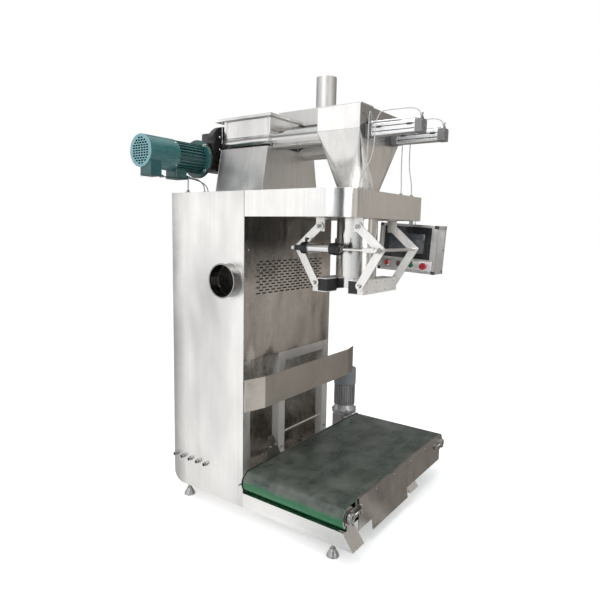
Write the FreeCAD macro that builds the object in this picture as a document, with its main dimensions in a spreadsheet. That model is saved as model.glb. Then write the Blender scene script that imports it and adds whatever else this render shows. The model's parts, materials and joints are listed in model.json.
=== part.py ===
"""Powder packaging machine: twin screw filler over a bag clamp and a belt conveyor.

Millimetres, +Z up. The origin lies on the floor below the filling spout's axis.
+X is the way the belt runs, and the cabinet stands on the +Y side of the spout.
"""
import FreeCAD, Part
import math
import os
import re

from FreeCAD import Placement, Rotation, Vector

doc = FreeCAD.newDocument("PowderPackagingMachine")

SIZES = {
    # Cabinet
    "cabinet_width": 850, "cabinet_depth": 560, "cabinet_front": 437,
    "deck_height": 1845, "ground_clearance": 95, "sheet": 3, "heel_radius": 70,
    "recess_height": 930, "recess_depth": 260, "recess_margin": 60,
    "slot_length": 38, "slot_height": 7, "slot_pitch": 53, "slot_row_pitch": 16,
    "slot_rows": 12, "slot_columns": 12, "slot_field_drop": 463,
    "door_margin": 40, "door_drop": 285, "hinge_radius": 8, "latch_radius": 16,
    # Base frame and feet
    "beam_width": 114, "beam_height": 83, "beam_reach": 652, "far_beam_setback": 30, "beam_slope": 62,
    "foot_radius": 34, "foot_stem": 9,
    # Platform
    "platform_reach": 620, "platform_height": 134, "nose_radius": 140, "corner_radius": 16,
    "platform_plate": 8,
    # Fittings on the left wall
    "port_radius": 90, "port_length": 68, "port_height": 1369, "port_setback": 100,
    "fitting_count": 5, "fitting_pitch": 63, "fitting_height": 272, "fitting_radius": 9,
    # Screw feeder
    "screw_spacing": 280, "feeder_rise": 292, "fine_radius": 52, "coarse_radius": 76,
    "barrel_wall": 3, "auger_gap": 2, "shaft_radius": 15, "flight_thickness": 4,
    "fine_pitch": 95, "coarse_pitch": 150,
    "hopper_width": 365, "hopper_length": 346, "hopper_setback": 30, "hopper_rise": 128,
    "rim_height": 15, "rim_width": 16, "rim_overhang": 63,
    "stand_top_width": 440, "stand_bottom_width": 540, "stand_length": 350,
    "stand_setback": 13, "stand_gap": 37,
    # Discharge box, spout and venting
    "box_width": 450, "box_length": 248, "box_lift": 6, "box_height": 114,
    "chute_lift": 15, "chute_radius": 110, "chute_bends": 8, "spout_radius": 110, "spout_lift": 20,
    "hood_width": 140, "hood_height": 93, "hood_start": 60, "hood_end": 635,
    "vent_radius": 59, "vent_length": 177, "vent_place": 337,
    # Gate cylinders
    "gate_square": 62, "gate_cap": 34, "gate_body": 292, "gate_bore": 26, "gate_rod": 10,
    "gate_stroke": 155, "fit_gap": 0.3, "shaft_gap": 0.08,
    # Screw drives
    "drive_setback": 480, "worm_drop": 92, "motor_radius": 86, "cowl_length": 201,
    "frame_length": 205, "motor_flange": 108, "gearbox_width": 140, "gearbox_depth": 110,
    "output_flange": 110, "snout_length": 75, "motor_shaft": 12,
    # Bag clamp
    "pivot_drop": 43, "pivot_spread": 115, "apex_out": 131, "apex_drop": 114,
    "jaw_pin_out": 21, "jaw_pin_drop": 296, "arm_width": 44, "arm_plate": 8, "arm_plane": 195,
    "pin_radius": 8, "pin_gap": 0.05, "jaw_outer": 153, "jaw_inner": 62,
    "jaw_drop": 47, "jaw_height": 72, "jaw_sheet": 4, "pad_gap": 0.8,
    "cylinder_plane": 232, "cylinder_cap": 30, "cylinder_tube": 25, "cylinder_bore": 20,
    "clamp_rod_radius": 8,
    # Operator panel
    "panel_width": 368, "panel_height": 285, "panel_depth": 140, "panel_drop": 160,
    "panel_side": 515, "panel_forward": 89, "panel_tilt": 3, "panel_corner": 16,
    "arm_tube": 25, "arm_drop": 70, "arm_down": 63,
    # Conveyor
    "belt_height": 300, "belt_thickness": 3, "roller_radius": 55.2, "roller_shaft": 12.5,
    "idler_inset": 47, "drive_reach": 395, "belt_front": 218, "belt_back": 425,
    "side_plate": 4, "side_top": 305, "side_bottom": 70, "side_fold": 130, "side_flare": 8,
    "near_plate_start": 285, "near_plate_end": 808, "lip_start": 136, "lip_end": 300,
    "crossbar_height": 25, "crossbar_width": 40, "belt_gap": 5, "near_gap": 6,
    "bracket_plate": 4, "conveyor_motor_side": 40, "conveyor_motor_back": 118, "conveyor_motor_radius": 82,
    "conveyor_motor_bottom": 297, "conveyor_motor_top": 622,
    # Bag guard
    "post_width": 60, "post_depth": 50, "post_left": 110, "guard_top": 928,
    "guard_plate_back": 280, "guard_plate_bottom": 709, "guard_plate_height": 170,
    "guard_flare": 130,
}

# Sizes that follow from others
FOLLOWING = {
    "slot_field_middle": "deck_height-slot_field_drop", "door_height": "deck_height-door_drop",
    "screw_height": "deck_height+feeder_rise", "stand_top": "screw_height-stand_gap",
    "hopper_top": "screw_height+hopper_rise", "box_bottom": "screw_height+box_lift",
    "box_top": "box_bottom+box_height", "chute_outlet": "deck_height+chute_lift",
    "hood_top": "box_top+hood_height", "vent_top": "hood_top+vent_length",
    "pivot_height": "deck_height-platform_height-pivot_drop",
    "jaw_bottom": "pivot_height-jaw_pin_drop-jaw_drop",
    "spout_bottom": "jaw_bottom+spout_lift", "arm_height": "deck_height-arm_drop",
    "arm_end": "arm_height-arm_down",
    "panel_middle": "arm_end-panel_drop", "idler_place": "cabinet_width/2-idler_inset",
    "drive_place": "cabinet_width/2+drive_reach",
}

sheet = doc.addObject("Spreadsheet::Sheet", "Sizes")
for row, (word, number) in enumerate([*SIZES.items(), *FOLLOWING.items()], start=1):
    sheet.set(f"A{row}", word)
    sheet.set(f"B{row}", f"={number}")
    sheet.setAlias(f"B{row}", word)
doc.recompute()


def size(word):
    """The value of one driving dimension, as the sheet holds it."""
    return float(sheet.get(word))


def rule(text):
    """An expression in which each size's own word points at the sheet."""
    known = {**SIZES, **FOLLOWING}
    return re.sub(r"[a-z]\w+", lambda hit: "Sizes." + hit.group() if hit.group() in known else hit.group(),
                  str(text))


def value(text):
    """The number that a rule gives with the sheet's present values."""
    return float(doc.getObject("Sizes").evalExpression(rule(text)))


def bind(item, rules):
    for prop, text in rules.items():
        item.setExpression(prop, rule(text))


def at(item, x=0, y=0, z=0, turn=None):
    """Places an item by rules, turned first where a rotation is given."""
    if turn:
        item.Placement = Placement(Vector(), turn)
    bind(item, {"Placement.Base.x": x, "Placement.Base.y": y, "Placement.Base.z": z})
    return item


ALONG = {"X": Rotation(Vector(0, 1, 0), 90), "Y": Rotation(Vector(1, 0, 0), -90), "Z": Rotation()}
NODES = []
serial = iter(range(1, 100000))


def new(kind, word):
    return doc.addObject(kind, f"{word}_{next(serial)}")


def block(x, y, z):
    """A box between two rules on each axis."""
    item = new("Part::Box", "Block")
    bind(item, {"Length": f"({x[1]})-({x[0]})", "Width": f"({y[1]})-({y[0]})",
                "Height": f"({z[1]})-({z[0]})"})
    return at(item, x[0], y[0], z[0])


def round_bar(axis, radius, start, end, first, second):
    """A cylinder along X, Y or Z from start to end; first and second place its centre line."""
    item = new("Part::Cylinder", "Round")
    bind(item, {"Radius": radius, "Height": f"({end})-({start})"})
    place = {"X": (start, first, second), "Y": (first, start, second), "Z": (first, second, start)}[axis]
    return at(item, *place, turn=ALONG[axis])


def taper(axis, radius_start, radius_end, start, end, first, second):
    item = new("Part::Cone", "Taper")
    bind(item, {"Radius1": radius_start, "Radius2": radius_end, "Height": f"({end})-({start})"})
    place = {"X": (start, first, second), "Y": (first, start, second), "Z": (first, second, start)}[axis]
    return at(item, *place, turn=ALONG[axis])


def joined(*items):
    if len(items) == 1:
        return items[0]
    item = new("Part::MultiFuse", "Joined")
    item.Shapes = list(items)
    return item


def cut(base, *tools):
    item = new("Part::Cut", "Cut")
    item.Base = base
    item.Tool = joined(*tools)
    return item


def group(*items):
    """Separate solids that share one node."""
    item = new("Part::Compound", "Group")
    item.Links = list(items)
    return item


def tube(axis, radius, wall, start, end, first, second):
    inner = round_bar(axis, f"({radius})-({wall})", f"({start})-1", f"({end})+1", first, second)
    return cut(round_bar(axis, radius, start, end, first, second), inner)


def rounded(item, radius, *picked):
    """Rounds the edges of an item that the tests in picked choose."""
    doc.recompute()
    item_round = new("Part::Fillet", "Rounded")
    item_round.Base = item
    edges = item.Shape.Edges
    item_round.Edges = [(n + 1, value(radius), value(radius)) for n, edge in enumerate(edges)
                        if any(test(edge) for test in picked)]
    return item_round


def upright(edge):
    start, end = edge.Vertexes[0].Point, edge.Vertexes[-1].Point
    return abs((end - start).z) > 0.99 * edge.Length


def along_y(edge):
    start, end = edge.Vertexes[0].Point, edge.Vertexes[-1].Point
    return abs((end - start).y) > 0.99 * edge.Length


def along_x(edge):
    start, end = edge.Vertexes[0].Point, edge.Vertexes[-1].Point
    return abs((end - start).x) > 0.99 * edge.Length


def corners(points, radii):
    """Lines and arcs through points, each corner rounded by its own radius."""
    count = len(points)
    flat = [Vector(x, y, 0) for x, y in points]
    marks = []
    for n, corner in enumerate(flat):
        radius = radii[n] if radii else 0
        if not radius:
            marks.append((corner, corner, None))
            continue
        back = (flat[n - 1] - corner).normalize()
        ahead = (flat[(n + 1) % count] - corner).normalize()
        half = back.getAngle(ahead) / 2
        reach = radius / math.tan(half)
        middle = corner + (back + ahead).normalize() * (radius / math.sin(half) - radius)
        marks.append((corner + back * reach, corner + ahead * reach, middle))
    pieces = []
    for n, (start, end, middle) in enumerate(marks):
        if middle is not None:
            pieces.append(Part.Arc(start, middle, end))
        following = marks[(n + 1) % count][0]
        if (following - end).Length > 1e-6:
            pieces.append(Part.LineSegment(end, following))
    return pieces


def profile(plane, loops, length, x=0, y=0, z=0):
    """A PartDesign body: one sketch of closed loops, padded by a rule, and placed by rules."""
    body = new("PartDesign::Body", "Body")
    sketch = body.newObject("Sketcher::SketchObject", f"Sketch_{next(serial)}")
    origin = [part for part in body.Origin.OriginFeatures if part.Role == plane + "_Plane"][0]
    sketch.AttachmentSupport = [(origin, "")]
    sketch.MapMode = "FlatFace"
    for loop in loops:
        for piece in loop:
            sketch.addGeometry(piece, False)
    pad = body.newObject("PartDesign::Pad", f"Pad_{next(serial)}")
    pad.Profile = sketch
    bind(pad, {"Length": length})
    body.Tip = pad
    return at(body, x, y, z)


def circle(x, y, radius):
    return [Part.Circle(Vector(x, y, 0), Vector(0, 0, 1), radius)]


def outline(points, radii=None):
    return corners(points, radii)


def node(name, item):
    """Names a finished sub-part; the name is also its file's."""
    item.Label = name
    NODES.append(item)
    return item


# Rules used in several places
HALF = "cabinet_width/2"
FRONT = "cabinet_front"
BACK = "cabinet_front+cabinet_depth"
PLATFORM_UNDER = "deck_height-platform_height"
PLATFORM_FRONT = "cabinet_front-platform_reach"
BEAM_TOP = "ground_clearance+beam_height"
FINE = "-screw_spacing/2"
COARSE = "screw_spacing/2"
BOX_HALF = "box_width/2"
BOX_BACK = "box_length/2"
HOPPER_FRONT = "cabinet_front+hopper_setback"
HOPPER_BACK = "cabinet_front+hopper_setback+hopper_length"
DRIVE = "cabinet_front+drive_setback"
LEAD_PLACES = ((384, 468), (273, 448), (206, 488))
HOSE_PLACES = ((-257, -150), (-222, -150), (207, -150), (344, -150))


def make_cabinet():
    side = outline([(value(FRONT), size("ground_clearance")), (value(BACK), size("ground_clearance")),
                    (value(BACK), size("deck_height")), (value(FRONT), size("deck_height"))],
                   [0, size("heel_radius"), 0, 0])
    outer = profile("YZ", [side], "cabinet_width", x="-" + HALF)
    wall = size("sheet")
    hollow = outline([(value(FRONT) + wall, size("ground_clearance") + wall),
                      (value(BACK) - wall, size("ground_clearance") + wall),
                      (value(BACK) - wall, size("deck_height") - wall),
                      (value(FRONT) + wall, size("deck_height") - wall)],
                     [0, size("heel_radius") - wall, 0, 0])
    inner = profile("YZ", [hollow], "cabinet_width-2*sheet", x=f"-({HALF})+sheet")
    shell = cut(outer, inner)
    front_hole = block((f"-({HALF})+sheet", f"{HALF}-sheet"), (f"{FRONT}-1", f"{FRONT}+sheet+1"),
                       ("recess_height", PLATFORM_UNDER))
    recess_hole = block((f"-({HALF})+recess_margin", f"{HALF}-sheet"), (f"{FRONT}-1", f"{FRONT}+sheet+1"),
                        (BEAM_TOP, "recess_height+1"))
    door_hole = block((f"-({HALF})+door_margin", f"{HALF}-door_margin"), (f"{BACK}-sheet-1", f"{BACK}+1"),
                      ("ground_clearance+heel_radius+10", "ground_clearance+heel_radius+10+door_height"))
    port_hole = round_bar("X", "port_radius-sheet", f"-({HALF})-1", f"-({HALF})+sheet+1",
                          f"{FRONT}+port_setback", "port_height")
    node("cabinet_shell", cut(shell, front_hole, recess_hole, door_hole, port_hole))


def make_perforated_panel():
    half = value(HALF) - size("sheet")
    bottom, top = size("recess_height"), value(PLATFORM_UNDER)
    body = profile("XZ", [outline([(-half, bottom), (half, bottom), (half, top), (-half, top)])],
                   "sheet", y=f"{FRONT}+sheet")
    rows, columns = int(size("slot_rows")), int(size("slot_columns"))
    pocket_sketch = body.newObject("Sketcher::SketchObject", "SlotRow")
    origin = [part for part in body.Origin.OriginFeatures if part.Role == "XZ_Plane"][0]
    pocket_sketch.AttachmentSupport = [(origin, "")]
    pocket_sketch.MapMode = "FlatFace"
    first_row = size("slot_field_middle") - (rows - 1) * size("slot_row_pitch") / 2
    for line in (0, 1):
        shift = (line - 0.5) * size("slot_pitch") / 2
        level = first_row + line * size("slot_row_pitch")
        for column in range(columns):
            middle = (column - (columns - 1) / 2) * size("slot_pitch") + shift
            left, right = middle - size("slot_length") / 2, middle + size("slot_length") / 2
            low, high = level - size("slot_height") / 2, level + size("slot_height") / 2
            for piece in outline([(left, low), (right, low), (right, high), (left, high)]):
                pocket_sketch.addGeometry(piece, False)
    pocket = body.newObject("PartDesign::Pocket", "Slots")
    pocket.Profile = pocket_sketch
    pocket.Type = "ThroughAll"
    pocket.Midplane = True
    doc.recompute()
    pattern = body.newObject("PartDesign::LinearPattern", "SlotRows")
    pattern.Originals = [pocket]
    pattern.Direction = (pocket_sketch, ["V_Axis"])
    pattern.Length = (rows / 2 - 1) * 2 * size("slot_row_pitch")
    pattern.Occurrences = rows // 2
    body.Tip = pattern
    node("perforated_panel", body)


def make_recess():
    left, right = f"-({HALF})+recess_margin", f"{HALF}-sheet"
    outer = block((left, right), (f"{FRONT}+sheet", f"{FRONT}+recess_depth"), (BEAM_TOP, "recess_height"))
    inner = block((f"{left}+2", f"{right}-2"), (f"{FRONT}", f"{FRONT}+recess_depth-2"),
                  (f"{BEAM_TOP}+2", "recess_height-2"))
    node("recess_liner", cut(outer, inner))


def make_door():
    low, high = "ground_clearance+heel_radius+14", "ground_clearance+heel_radius+6+door_height"
    left, right = f"-({HALF})+door_margin+4", f"{HALF}-door_margin-4"
    skin = block((left, right), (f"{BACK}-sheet", BACK), (low, high))
    fold = block((f"{left}+14", f"{right}-14"), (f"{BACK}-sheet-18", f"{BACK}-sheet"),
                 (f"{low}+14", f"{high}-14"))
    fold_hollow = block((f"{left}+17", f"{right}-17"), (f"{BACK}-sheet-19", f"{BACK}-sheet"),
                        (f"{low}+17", f"{high}-17"))
    latch_hole = round_bar("Y", "latch_radius*0.5+shaft_gap", f"{BACK}-sheet-1", f"{BACK}+1", f"{right}-42",
                           1000)
    latch_window = block((f"{right}-19", f"{right}-12"), (f"{BACK}-sheet-19", f"{BACK}-sheet-2"), (930, 1070))
    leaves = [block((f"{left}-4", f"{left}+26"), (BACK, f"{BACK}+3"), (level, f"{level}+90"))
              for level in (300, 960, 1560)]
    knuckles = [tube("Z", "hinge_radius", "hinge_radius-4.05", f"{level}", f"{level}+44", f"{left}-12",
                     f"{BACK}+hinge_radius") for level in (300, 960, 1560)]
    webs = [block((f"{left}-7.5", f"{left}-4"), (BACK, f"{BACK}+3"), (f"{level}", f"{level}+44"))
            for level in (300, 960, 1560)]
    node("rear_door", joined(cut(joined(skin, cut(fold, fold_hollow, latch_window)), latch_hole), *leaves,
                             *knuckles, *webs))
    fixed = []
    for level in (300, 960, 1560):
        pin = round_bar("Z", 4, f"{level}", f"{level}+90", f"{left}-12", f"{BACK}+hinge_radius")
        barrel = round_bar("Z", "hinge_radius", f"{level}+44.5", f"{level}+90", f"{left}-12",
                           f"{BACK}+hinge_radius")
        leaf = block((f"{left}-38", f"{left}-12"), (BACK, f"{BACK}+3"), (f"{level}", f"{level}+90"))
        relief = round_bar("Z", "hinge_radius+0.3", f"{level}-1", f"{level}+44.4", f"{left}-12",
                           f"{BACK}+hinge_radius")
        fixed.append(joined(pin, barrel, cut(leaf, relief)))
    node("door_hinges", group(*fixed))
    stem = round_bar("Y", "latch_radius*0.5", f"{BACK}-sheet-12", f"{BACK}+6", f"{right}-42", 1000)
    knob = round_bar("Y", "latch_radius", BACK, f"{BACK}+7", f"{right}-42", 1000)
    wing = block((f"{right}-42-4", f"{right}-42+4"), (f"{BACK}+7", f"{BACK}+20"), (986, 1014))
    cam = block((f"{right}-50", f"{right}+18"), (f"{BACK}-sheet-12", f"{BACK}-sheet-8"), (992, 1008))
    node("door_latch", joined(stem, knob, wing, cam))


def make_base():
    pieces = []
    for sign in (-1, 1):
        start, end = (f"-({HALF})", f"-({HALF})+beam_width") if sign < 0 else (f"{HALF}-beam_width", HALF)
        low, high = size("ground_clearance"), value(BEAM_TOP)
        front = size("cabinet_front") - size("beam_reach") + (size("far_beam_setback") if sign > 0 else 0)
        side = outline([(front - size("beam_slope"), low), (value(FRONT), low), (value(FRONT), high),
                        (front, high)])
        pieces.append(profile("YZ", [side], "beam_width", x=start))
    node("base_beams", group(*pieces))
    feet = []
    for x, y in ((f"-({HALF})+beam_width/2", f"{BACK}-70"), (f"{HALF}-beam_width/2", f"{BACK}-70"),
                 (f"-({HALF})+beam_width/2", "cabinet_front-566"),
                 (f"{HALF}-beam_width/2", "cabinet_front-566")):
        pad = taper("Z", "foot_radius", "foot_radius*0.9", 0, 10, x, y)
        bell = taper("Z", "foot_radius*0.9", "foot_stem*1.5", 10, 42, x, y)
        stem = round_bar("Z", "foot_stem", 40, "ground_clearance", x, y)
        nut = round_bar("Z", "foot_stem*1.9", "ground_clearance-14", "ground_clearance", x, y)
        feet.append(joined(pad, bell, stem, nut))
    node("levelling_feet", group(*feet))


def platform_outline(inset):
    half, front, back = value(HALF) - inset, value(PLATFORM_FRONT) + inset, value(FRONT)
    return outline([(-half, front), (half, front), (half, back), (-half, back)],
                   [size("nose_radius") - inset, max(size("corner_radius") - inset, 1), 0, 0])


def make_platform():
    skirt = profile("XY", [platform_outline(0)], "platform_height", z=PLATFORM_UNDER)
    wall = size("sheet")
    hollow = profile("XY", [platform_outline(wall)], "platform_height-sheet", z=PLATFORM_UNDER)
    spout_hole = round_bar("Z", "spout_radius+fit_gap", PLATFORM_UNDER, "deck_height+1", 0, 0)
    node("platform_skirt", cut(skirt, hollow, spout_hole))
    plate = profile("XY", [platform_outline(wall + size("fit_gap"))], "platform_plate", z=PLATFORM_UNDER)
    node("platform_plate", cut(plate, round_bar("Z", "spout_radius+fit_gap", f"{PLATFORM_UNDER}-1",
                                                f"{PLATFORM_UNDER}+platform_plate+1", 0, 0)))


def make_wall_fittings():
    port_y = f"{FRONT}+port_setback"
    duct = tube("X", "port_radius", "sheet", f"-({HALF})-port_length", f"-({HALF})", port_y, "port_height")
    bead = tube("X", "port_radius+4", 4, f"-({HALF})-port_length", f"-({HALF})-port_length+8", port_y,
                "port_height")
    node("dust_port", joined(duct, bead))
    fittings = []
    for n in range(int(size("fitting_count"))):
        y = f"{BACK}-20-{n}*fitting_pitch"
        nut = round_bar("X", "fitting_radius*1.3", f"-({HALF})-8", f"-({HALF})", y, "fitting_height")
        neck = round_bar("X", "fitting_radius", f"-({HALF})-22", f"-({HALF})-8", y, "fitting_height")
        fittings.append(joined(nut, neck))
    for sign in (-1, 1):
        for x, y in LEAD_PLACES:
            nut = round_bar("Z", 11, "deck_height", "deck_height+8", sign * x, f"{FRONT}+{y}")
            dome = taper("Z", 9, 6, "deck_height+8", "deck_height+18", sign * x, f"{FRONT}+{y}")
            fittings.append(joined(nut, dome))
    for x, y in HOSE_PLACES:
        fittings.append(round_bar("Z", 8, "deck_height", "deck_height+12", x, y))
    node("hose_fittings", group(*fittings))


def make_stand():
    def trapezium(inset):
        low, high = size("deck_height"), size("stand_top")
        foot, head = size("stand_bottom_width") / 2 - inset, size("stand_top_width") / 2 - inset
        return outline([(-foot, low), (foot, low), (head, high), (-head, high)])

    stand_back = f"{FRONT}+stand_setback+stand_length"
    outer = profile("XZ", [trapezium(0)], "stand_length", y=stand_back)
    inner = profile("XZ", [trapezium(size("sheet"))], "stand_length-2*sheet", y=f"{stand_back}-sheet")
    saddle = [round_bar("Y", f"{radius}+fit_gap", FRONT, BACK, x, "screw_height")
              for x, radius in ((FINE, "fine_radius"), (COARSE, "coarse_radius"))]
    node("feeder_stand", cut(outer, inner, *saddle))


def make_hopper():
    half = "hopper_width/2"
    walls = block((f"-({half})", half), (HOPPER_FRONT, HOPPER_BACK), ("screw_height-3", "hopper_top"))
    troughs = [round_bar("Y", radius, HOPPER_FRONT, HOPPER_BACK, x, "screw_height")
               for x, radius in ((FINE, "fine_radius"), (COARSE, "coarse_radius"))]
    rim = block((f"-({half})-rim_width", f"{half}+rim_width"),
                (f"{HOPPER_FRONT}-rim_width", f"{HOPPER_BACK}+rim_overhang"),
                ("hopper_top", "hopper_top+rim_height"))
    mouth = block((f"-({half})+barrel_wall", f"{half}-barrel_wall"),
                  (f"{HOPPER_FRONT}+barrel_wall", f"{HOPPER_BACK}-barrel_wall"),
                  ("screw_height", "hopper_top+rim_height+1"))
    bores = [round_bar("Y", f"{radius}-barrel_wall", f"{HOPPER_FRONT}-1", f"{HOPPER_BACK}-barrel_wall", x,
                       "screw_height")
             for x, radius in ((FINE, "fine_radius"), (COARSE, "coarse_radius"))]
    shafts = [round_bar("Y", "shaft_radius+fit_gap", f"{HOPPER_BACK}-10", f"{HOPPER_BACK}+1", x,
                        "screw_height")
              for x in (FINE, COARSE)]
    node("hopper", cut(joined(walls, rim, *troughs), mouth, *bores, *shafts))


def make_barrels():
    barrels = []
    for x, radius in ((FINE, "fine_radius"), (COARSE, "coarse_radius")):
        pipe = round_bar("Y", radius, f"{BOX_BACK}-12", HOPPER_FRONT, x, "screw_height")
        collar = round_bar("Y", f"{radius}+6", f"{HOPPER_FRONT}-12", HOPPER_FRONT, x, "screw_height")
        bore = round_bar("Y", f"{radius}-barrel_wall", f"{BOX_BACK}-13", f"{HOPPER_FRONT}+1", x,
                         "screw_height")
        barrels.append(cut(joined(pipe, collar), bore))
    node("screw_barrels", group(*barrels))
    bearings = []
    for x in (FINE, COARSE):
        housing = round_bar("Y", "shaft_radius*2.6", HOPPER_BACK, f"{HOPPER_BACK}+24", x, "screw_height")
        nose = round_bar("Y", "shaft_radius*2", f"{HOPPER_BACK}+24", f"{DRIVE}-gearbox_depth/2-12", x,
                         "screw_height")
        bore = round_bar("Y", "shaft_radius+shaft_gap", f"{HOPPER_BACK}-1", DRIVE, x, "screw_height")
        bearings.append(cut(joined(housing, nose), bore))
    node("screw_bearings", group(*bearings))


def make_auger(name, x, radius, pitch):
    """One screw: a shaft with a thin helical flight, carried through the rear bearing."""
    start = value(f"{BOX_BACK}+12")
    end = value(f"{HOPPER_BACK}-barrel_wall-4")
    reach = size(radius) - size("barrel_wall") - size("auger_gap")
    core = size("shaft_radius")
    path = Part.makeHelix(size(pitch), end - start - size("flight_thickness"), reach)
    low, high = core - 1, reach
    blade = Part.makePolygon([Vector(low, 0, 0), Vector(high, 0, 0),
                              Vector(high, 0, size("flight_thickness")),
                              Vector(low, 0, size("flight_thickness")), Vector(low, 0, 0)])
    flight = Part.Wire(path).makePipeShell([blade], True, True)
    flight.Placement = Placement(Vector(value(x), start, size("screw_height")), ALONG["Y"])
    flight_item = new("Part::Feature", "Flight")
    flight_item.Shape = flight
    shaft = round_bar("Y", "shaft_radius", f"{BOX_BACK}+12", f"{DRIVE}-gearbox_depth/2+60", x, "screw_height")
    node(name, joined(shaft, flight_item))


def in_order(sign, near, far):
    """Two places along an axis, the lower one first, for a side given by its sign."""
    return (near, far) if sign > 0 else (far, near)


def span(x, sign, near, far):
    """Start and end along X of what lies between two distances from x, to one side of it."""
    return in_order(sign, f"({x})+({sign})*({near})", f"({x})+({sign})*({far})")


def ribbed(root, tip, count, foot=0.56, rise=0.62, fall=0.94):
    """The star-shaped section of a finned frame or a bladed fan."""
    points = []
    for n in range(count):
        for radius, turn in ((root, 0.0), (root, foot), (tip, rise), (tip, fall)):
            angle = 2 * math.pi * (n + turn) / count
            points.append((radius * math.cos(angle), radius * math.sin(angle)))
    return outline(points)


def grille_slots(axis, radius, low, high, first, second):
    """Rows of slots inside a round end, as tools to cut with."""
    tools = []
    pitch, width, bar = 13.0, 17.0, 4.5
    rows = int(value(radius) * 0.8 / pitch)
    for row in range(-rows, rows + 1):
        level = row * pitch
        half_chord = math.sqrt((value(radius) * 0.84) ** 2 - level ** 2)
        columns = int((2 * half_chord) // (width + bar))
        for column in range(columns):
            place = (column - (columns - 1) / 2) * (width + bar)
            across = (f"({first})+{place - width / 2}", f"({first})+{place + width / 2}")
            along = (f"({second})+{level - 4}", f"({second})+{level + 4}")
            if axis == "X":
                tools.append(block((low, high), across, along))
            else:
                tools.append(block(across, along, (low, high)))
    return tools


WORM = "screw_height-worm_drop"
HOUSING = "gearbox_width/2"
MOTOR_START = "gearbox_width/2+snout_length+12"
DRIVE_FRONT = f"{DRIVE}-gearbox_depth/2"
LEAD_START = 96
LEAD_LEVEL = "deck_height+86"


def make_drives():
    """Worm gearboxes behind the screws, with a motor out to each side of the machine."""
    gearboxes, frames, cowls, boxes = [], [], [], []
    for x, sign in ((FINE, -1), (COARSE, 1)):
        def bar(radius, near, far):
            return round_bar("X", radius, *span(x, sign, near, far), DRIVE, WORM)

        case = rounded(block((f"({x})-{HOUSING}", f"({x})+{HOUSING}"),
                             (DRIVE_FRONT, f"{DRIVE}+gearbox_depth/2"),
                             (f"{WORM}-62", "screw_height+72")), "14", along_y)
        disc = round_bar("Y", "output_flange", f"{DRIVE_FRONT}-12", f"{DRIVE_FRONT}+26", x, "screw_height")
        cap = round_bar("Y", "output_flange*0.6", f"{DRIVE}+gearbox_depth/2", f"{DRIVE}+gearbox_depth/2+8", x,
                        "screw_height")
        snout = bar("motor_radius*0.75", HOUSING, f"{HOUSING}+snout_length")
        plate = bar("motor_flange", f"{HOUSING}+snout_length", MOTOR_START)
        wheel_room = round_bar("Y", f"{HOUSING}-8", f"{DRIVE}-22", f"{DRIVE}+22", x, "screw_height")
        worm_room = round_bar("X", 24, f"({x})-50", f"({x})+50", DRIVE, WORM)
        shaft_room = round_bar("Y", "shaft_radius+shaft_gap", f"{DRIVE_FRONT}-13", DRIVE, x, "screw_height")
        worm_way = bar("motor_shaft+shaft_gap", "38", f"{MOTOR_START}+1")
        gearboxes.append(cut(joined(case, disc, cap, snout, plate), wheel_room, worm_room, shaft_room,
                             worm_way))

        base = MOTOR_START
        flange = bar("motor_flange", base, f"{base}+12")
        ribs = profile("YZ", [ribbed(size("motor_radius") * 0.84, size("motor_radius") * 0.97, 28)],
                       "frame_length-12", x=span(x, sign, f"{base}+12", f"{base}+frame_length")[0], y=DRIVE,
                       z=WORM)
        room = bar("motor_radius*0.7", f"{base}+12", f"{base}+frame_length+1")
        shaft_hole = bar("motor_shaft+shaft_gap", f"{base}-1", f"{base}+13")
        frames.append(cut(joined(flange, ribs), room, shaft_hole))

        end = f"{base}+frame_length+cowl_length"
        skirt = bar("motor_radius", f"{base}+frame_length", end)
        air = bar("motor_radius-3", f"{base}+frame_length-1", f"{end}-3")
        slots = grille_slots("X", "motor_radius", *span(x, sign, f"{end}-4", f"{end}+1"), DRIVE, WORM)
        cowls.append(cut(skirt, air, *slots))
        clear = round_bar("X", "motor_radius*0.97+fit_gap", *span(x, sign, base, f"{base}+frame_length"),
                          DRIVE, WORM)
        wide = round_bar("X", "motor_radius+fit_gap", *span(x, sign, f"{base}+frame_length", end), DRIVE,
                         WORM)
        lid = rounded(block(span(x, sign, f"{base}+112", f"{base}+200"), (f"{DRIVE}-36", f"{DRIVE}+52"),
                            (f"{WORM}-motor_radius-42", f"{WORM}-motor_radius*0.8")), "12", upright)
        glands = [round_bar("X", 7, *span(x, sign, f"{base}+{LEAD_START}", f"{base}+112"), f"{FRONT}+{y}",
                            LEAD_LEVEL)
                  for _, y in LEAD_PLACES[1:]]
        small = rounded(block(span(x, sign, f"{end}-82", f"{end}-4"), (f"{DRIVE}-72", f"{DRIVE}+12"),
                              (f"{WORM}-motor_radius-44", f"{WORM}-motor_radius*0.6")), "6", upright)
        side_gland = round_bar("X", 7, *span(x, sign, f"{end}-100", f"{end}-82"), f"{DRIVE}-56",
                               f"{LEAD_LEVEL}-13")
        boxes.append(cut(joined(lid, *glands), clear))
        boxes.append(cut(joined(small, side_gland), wide))
    node("screw_gearboxes", group(*gearboxes))
    node("screw_motor_frames", group(*frames))
    node("screw_motor_cowls", group(*cowls))
    node("terminal_boxes", group(*boxes))


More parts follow.
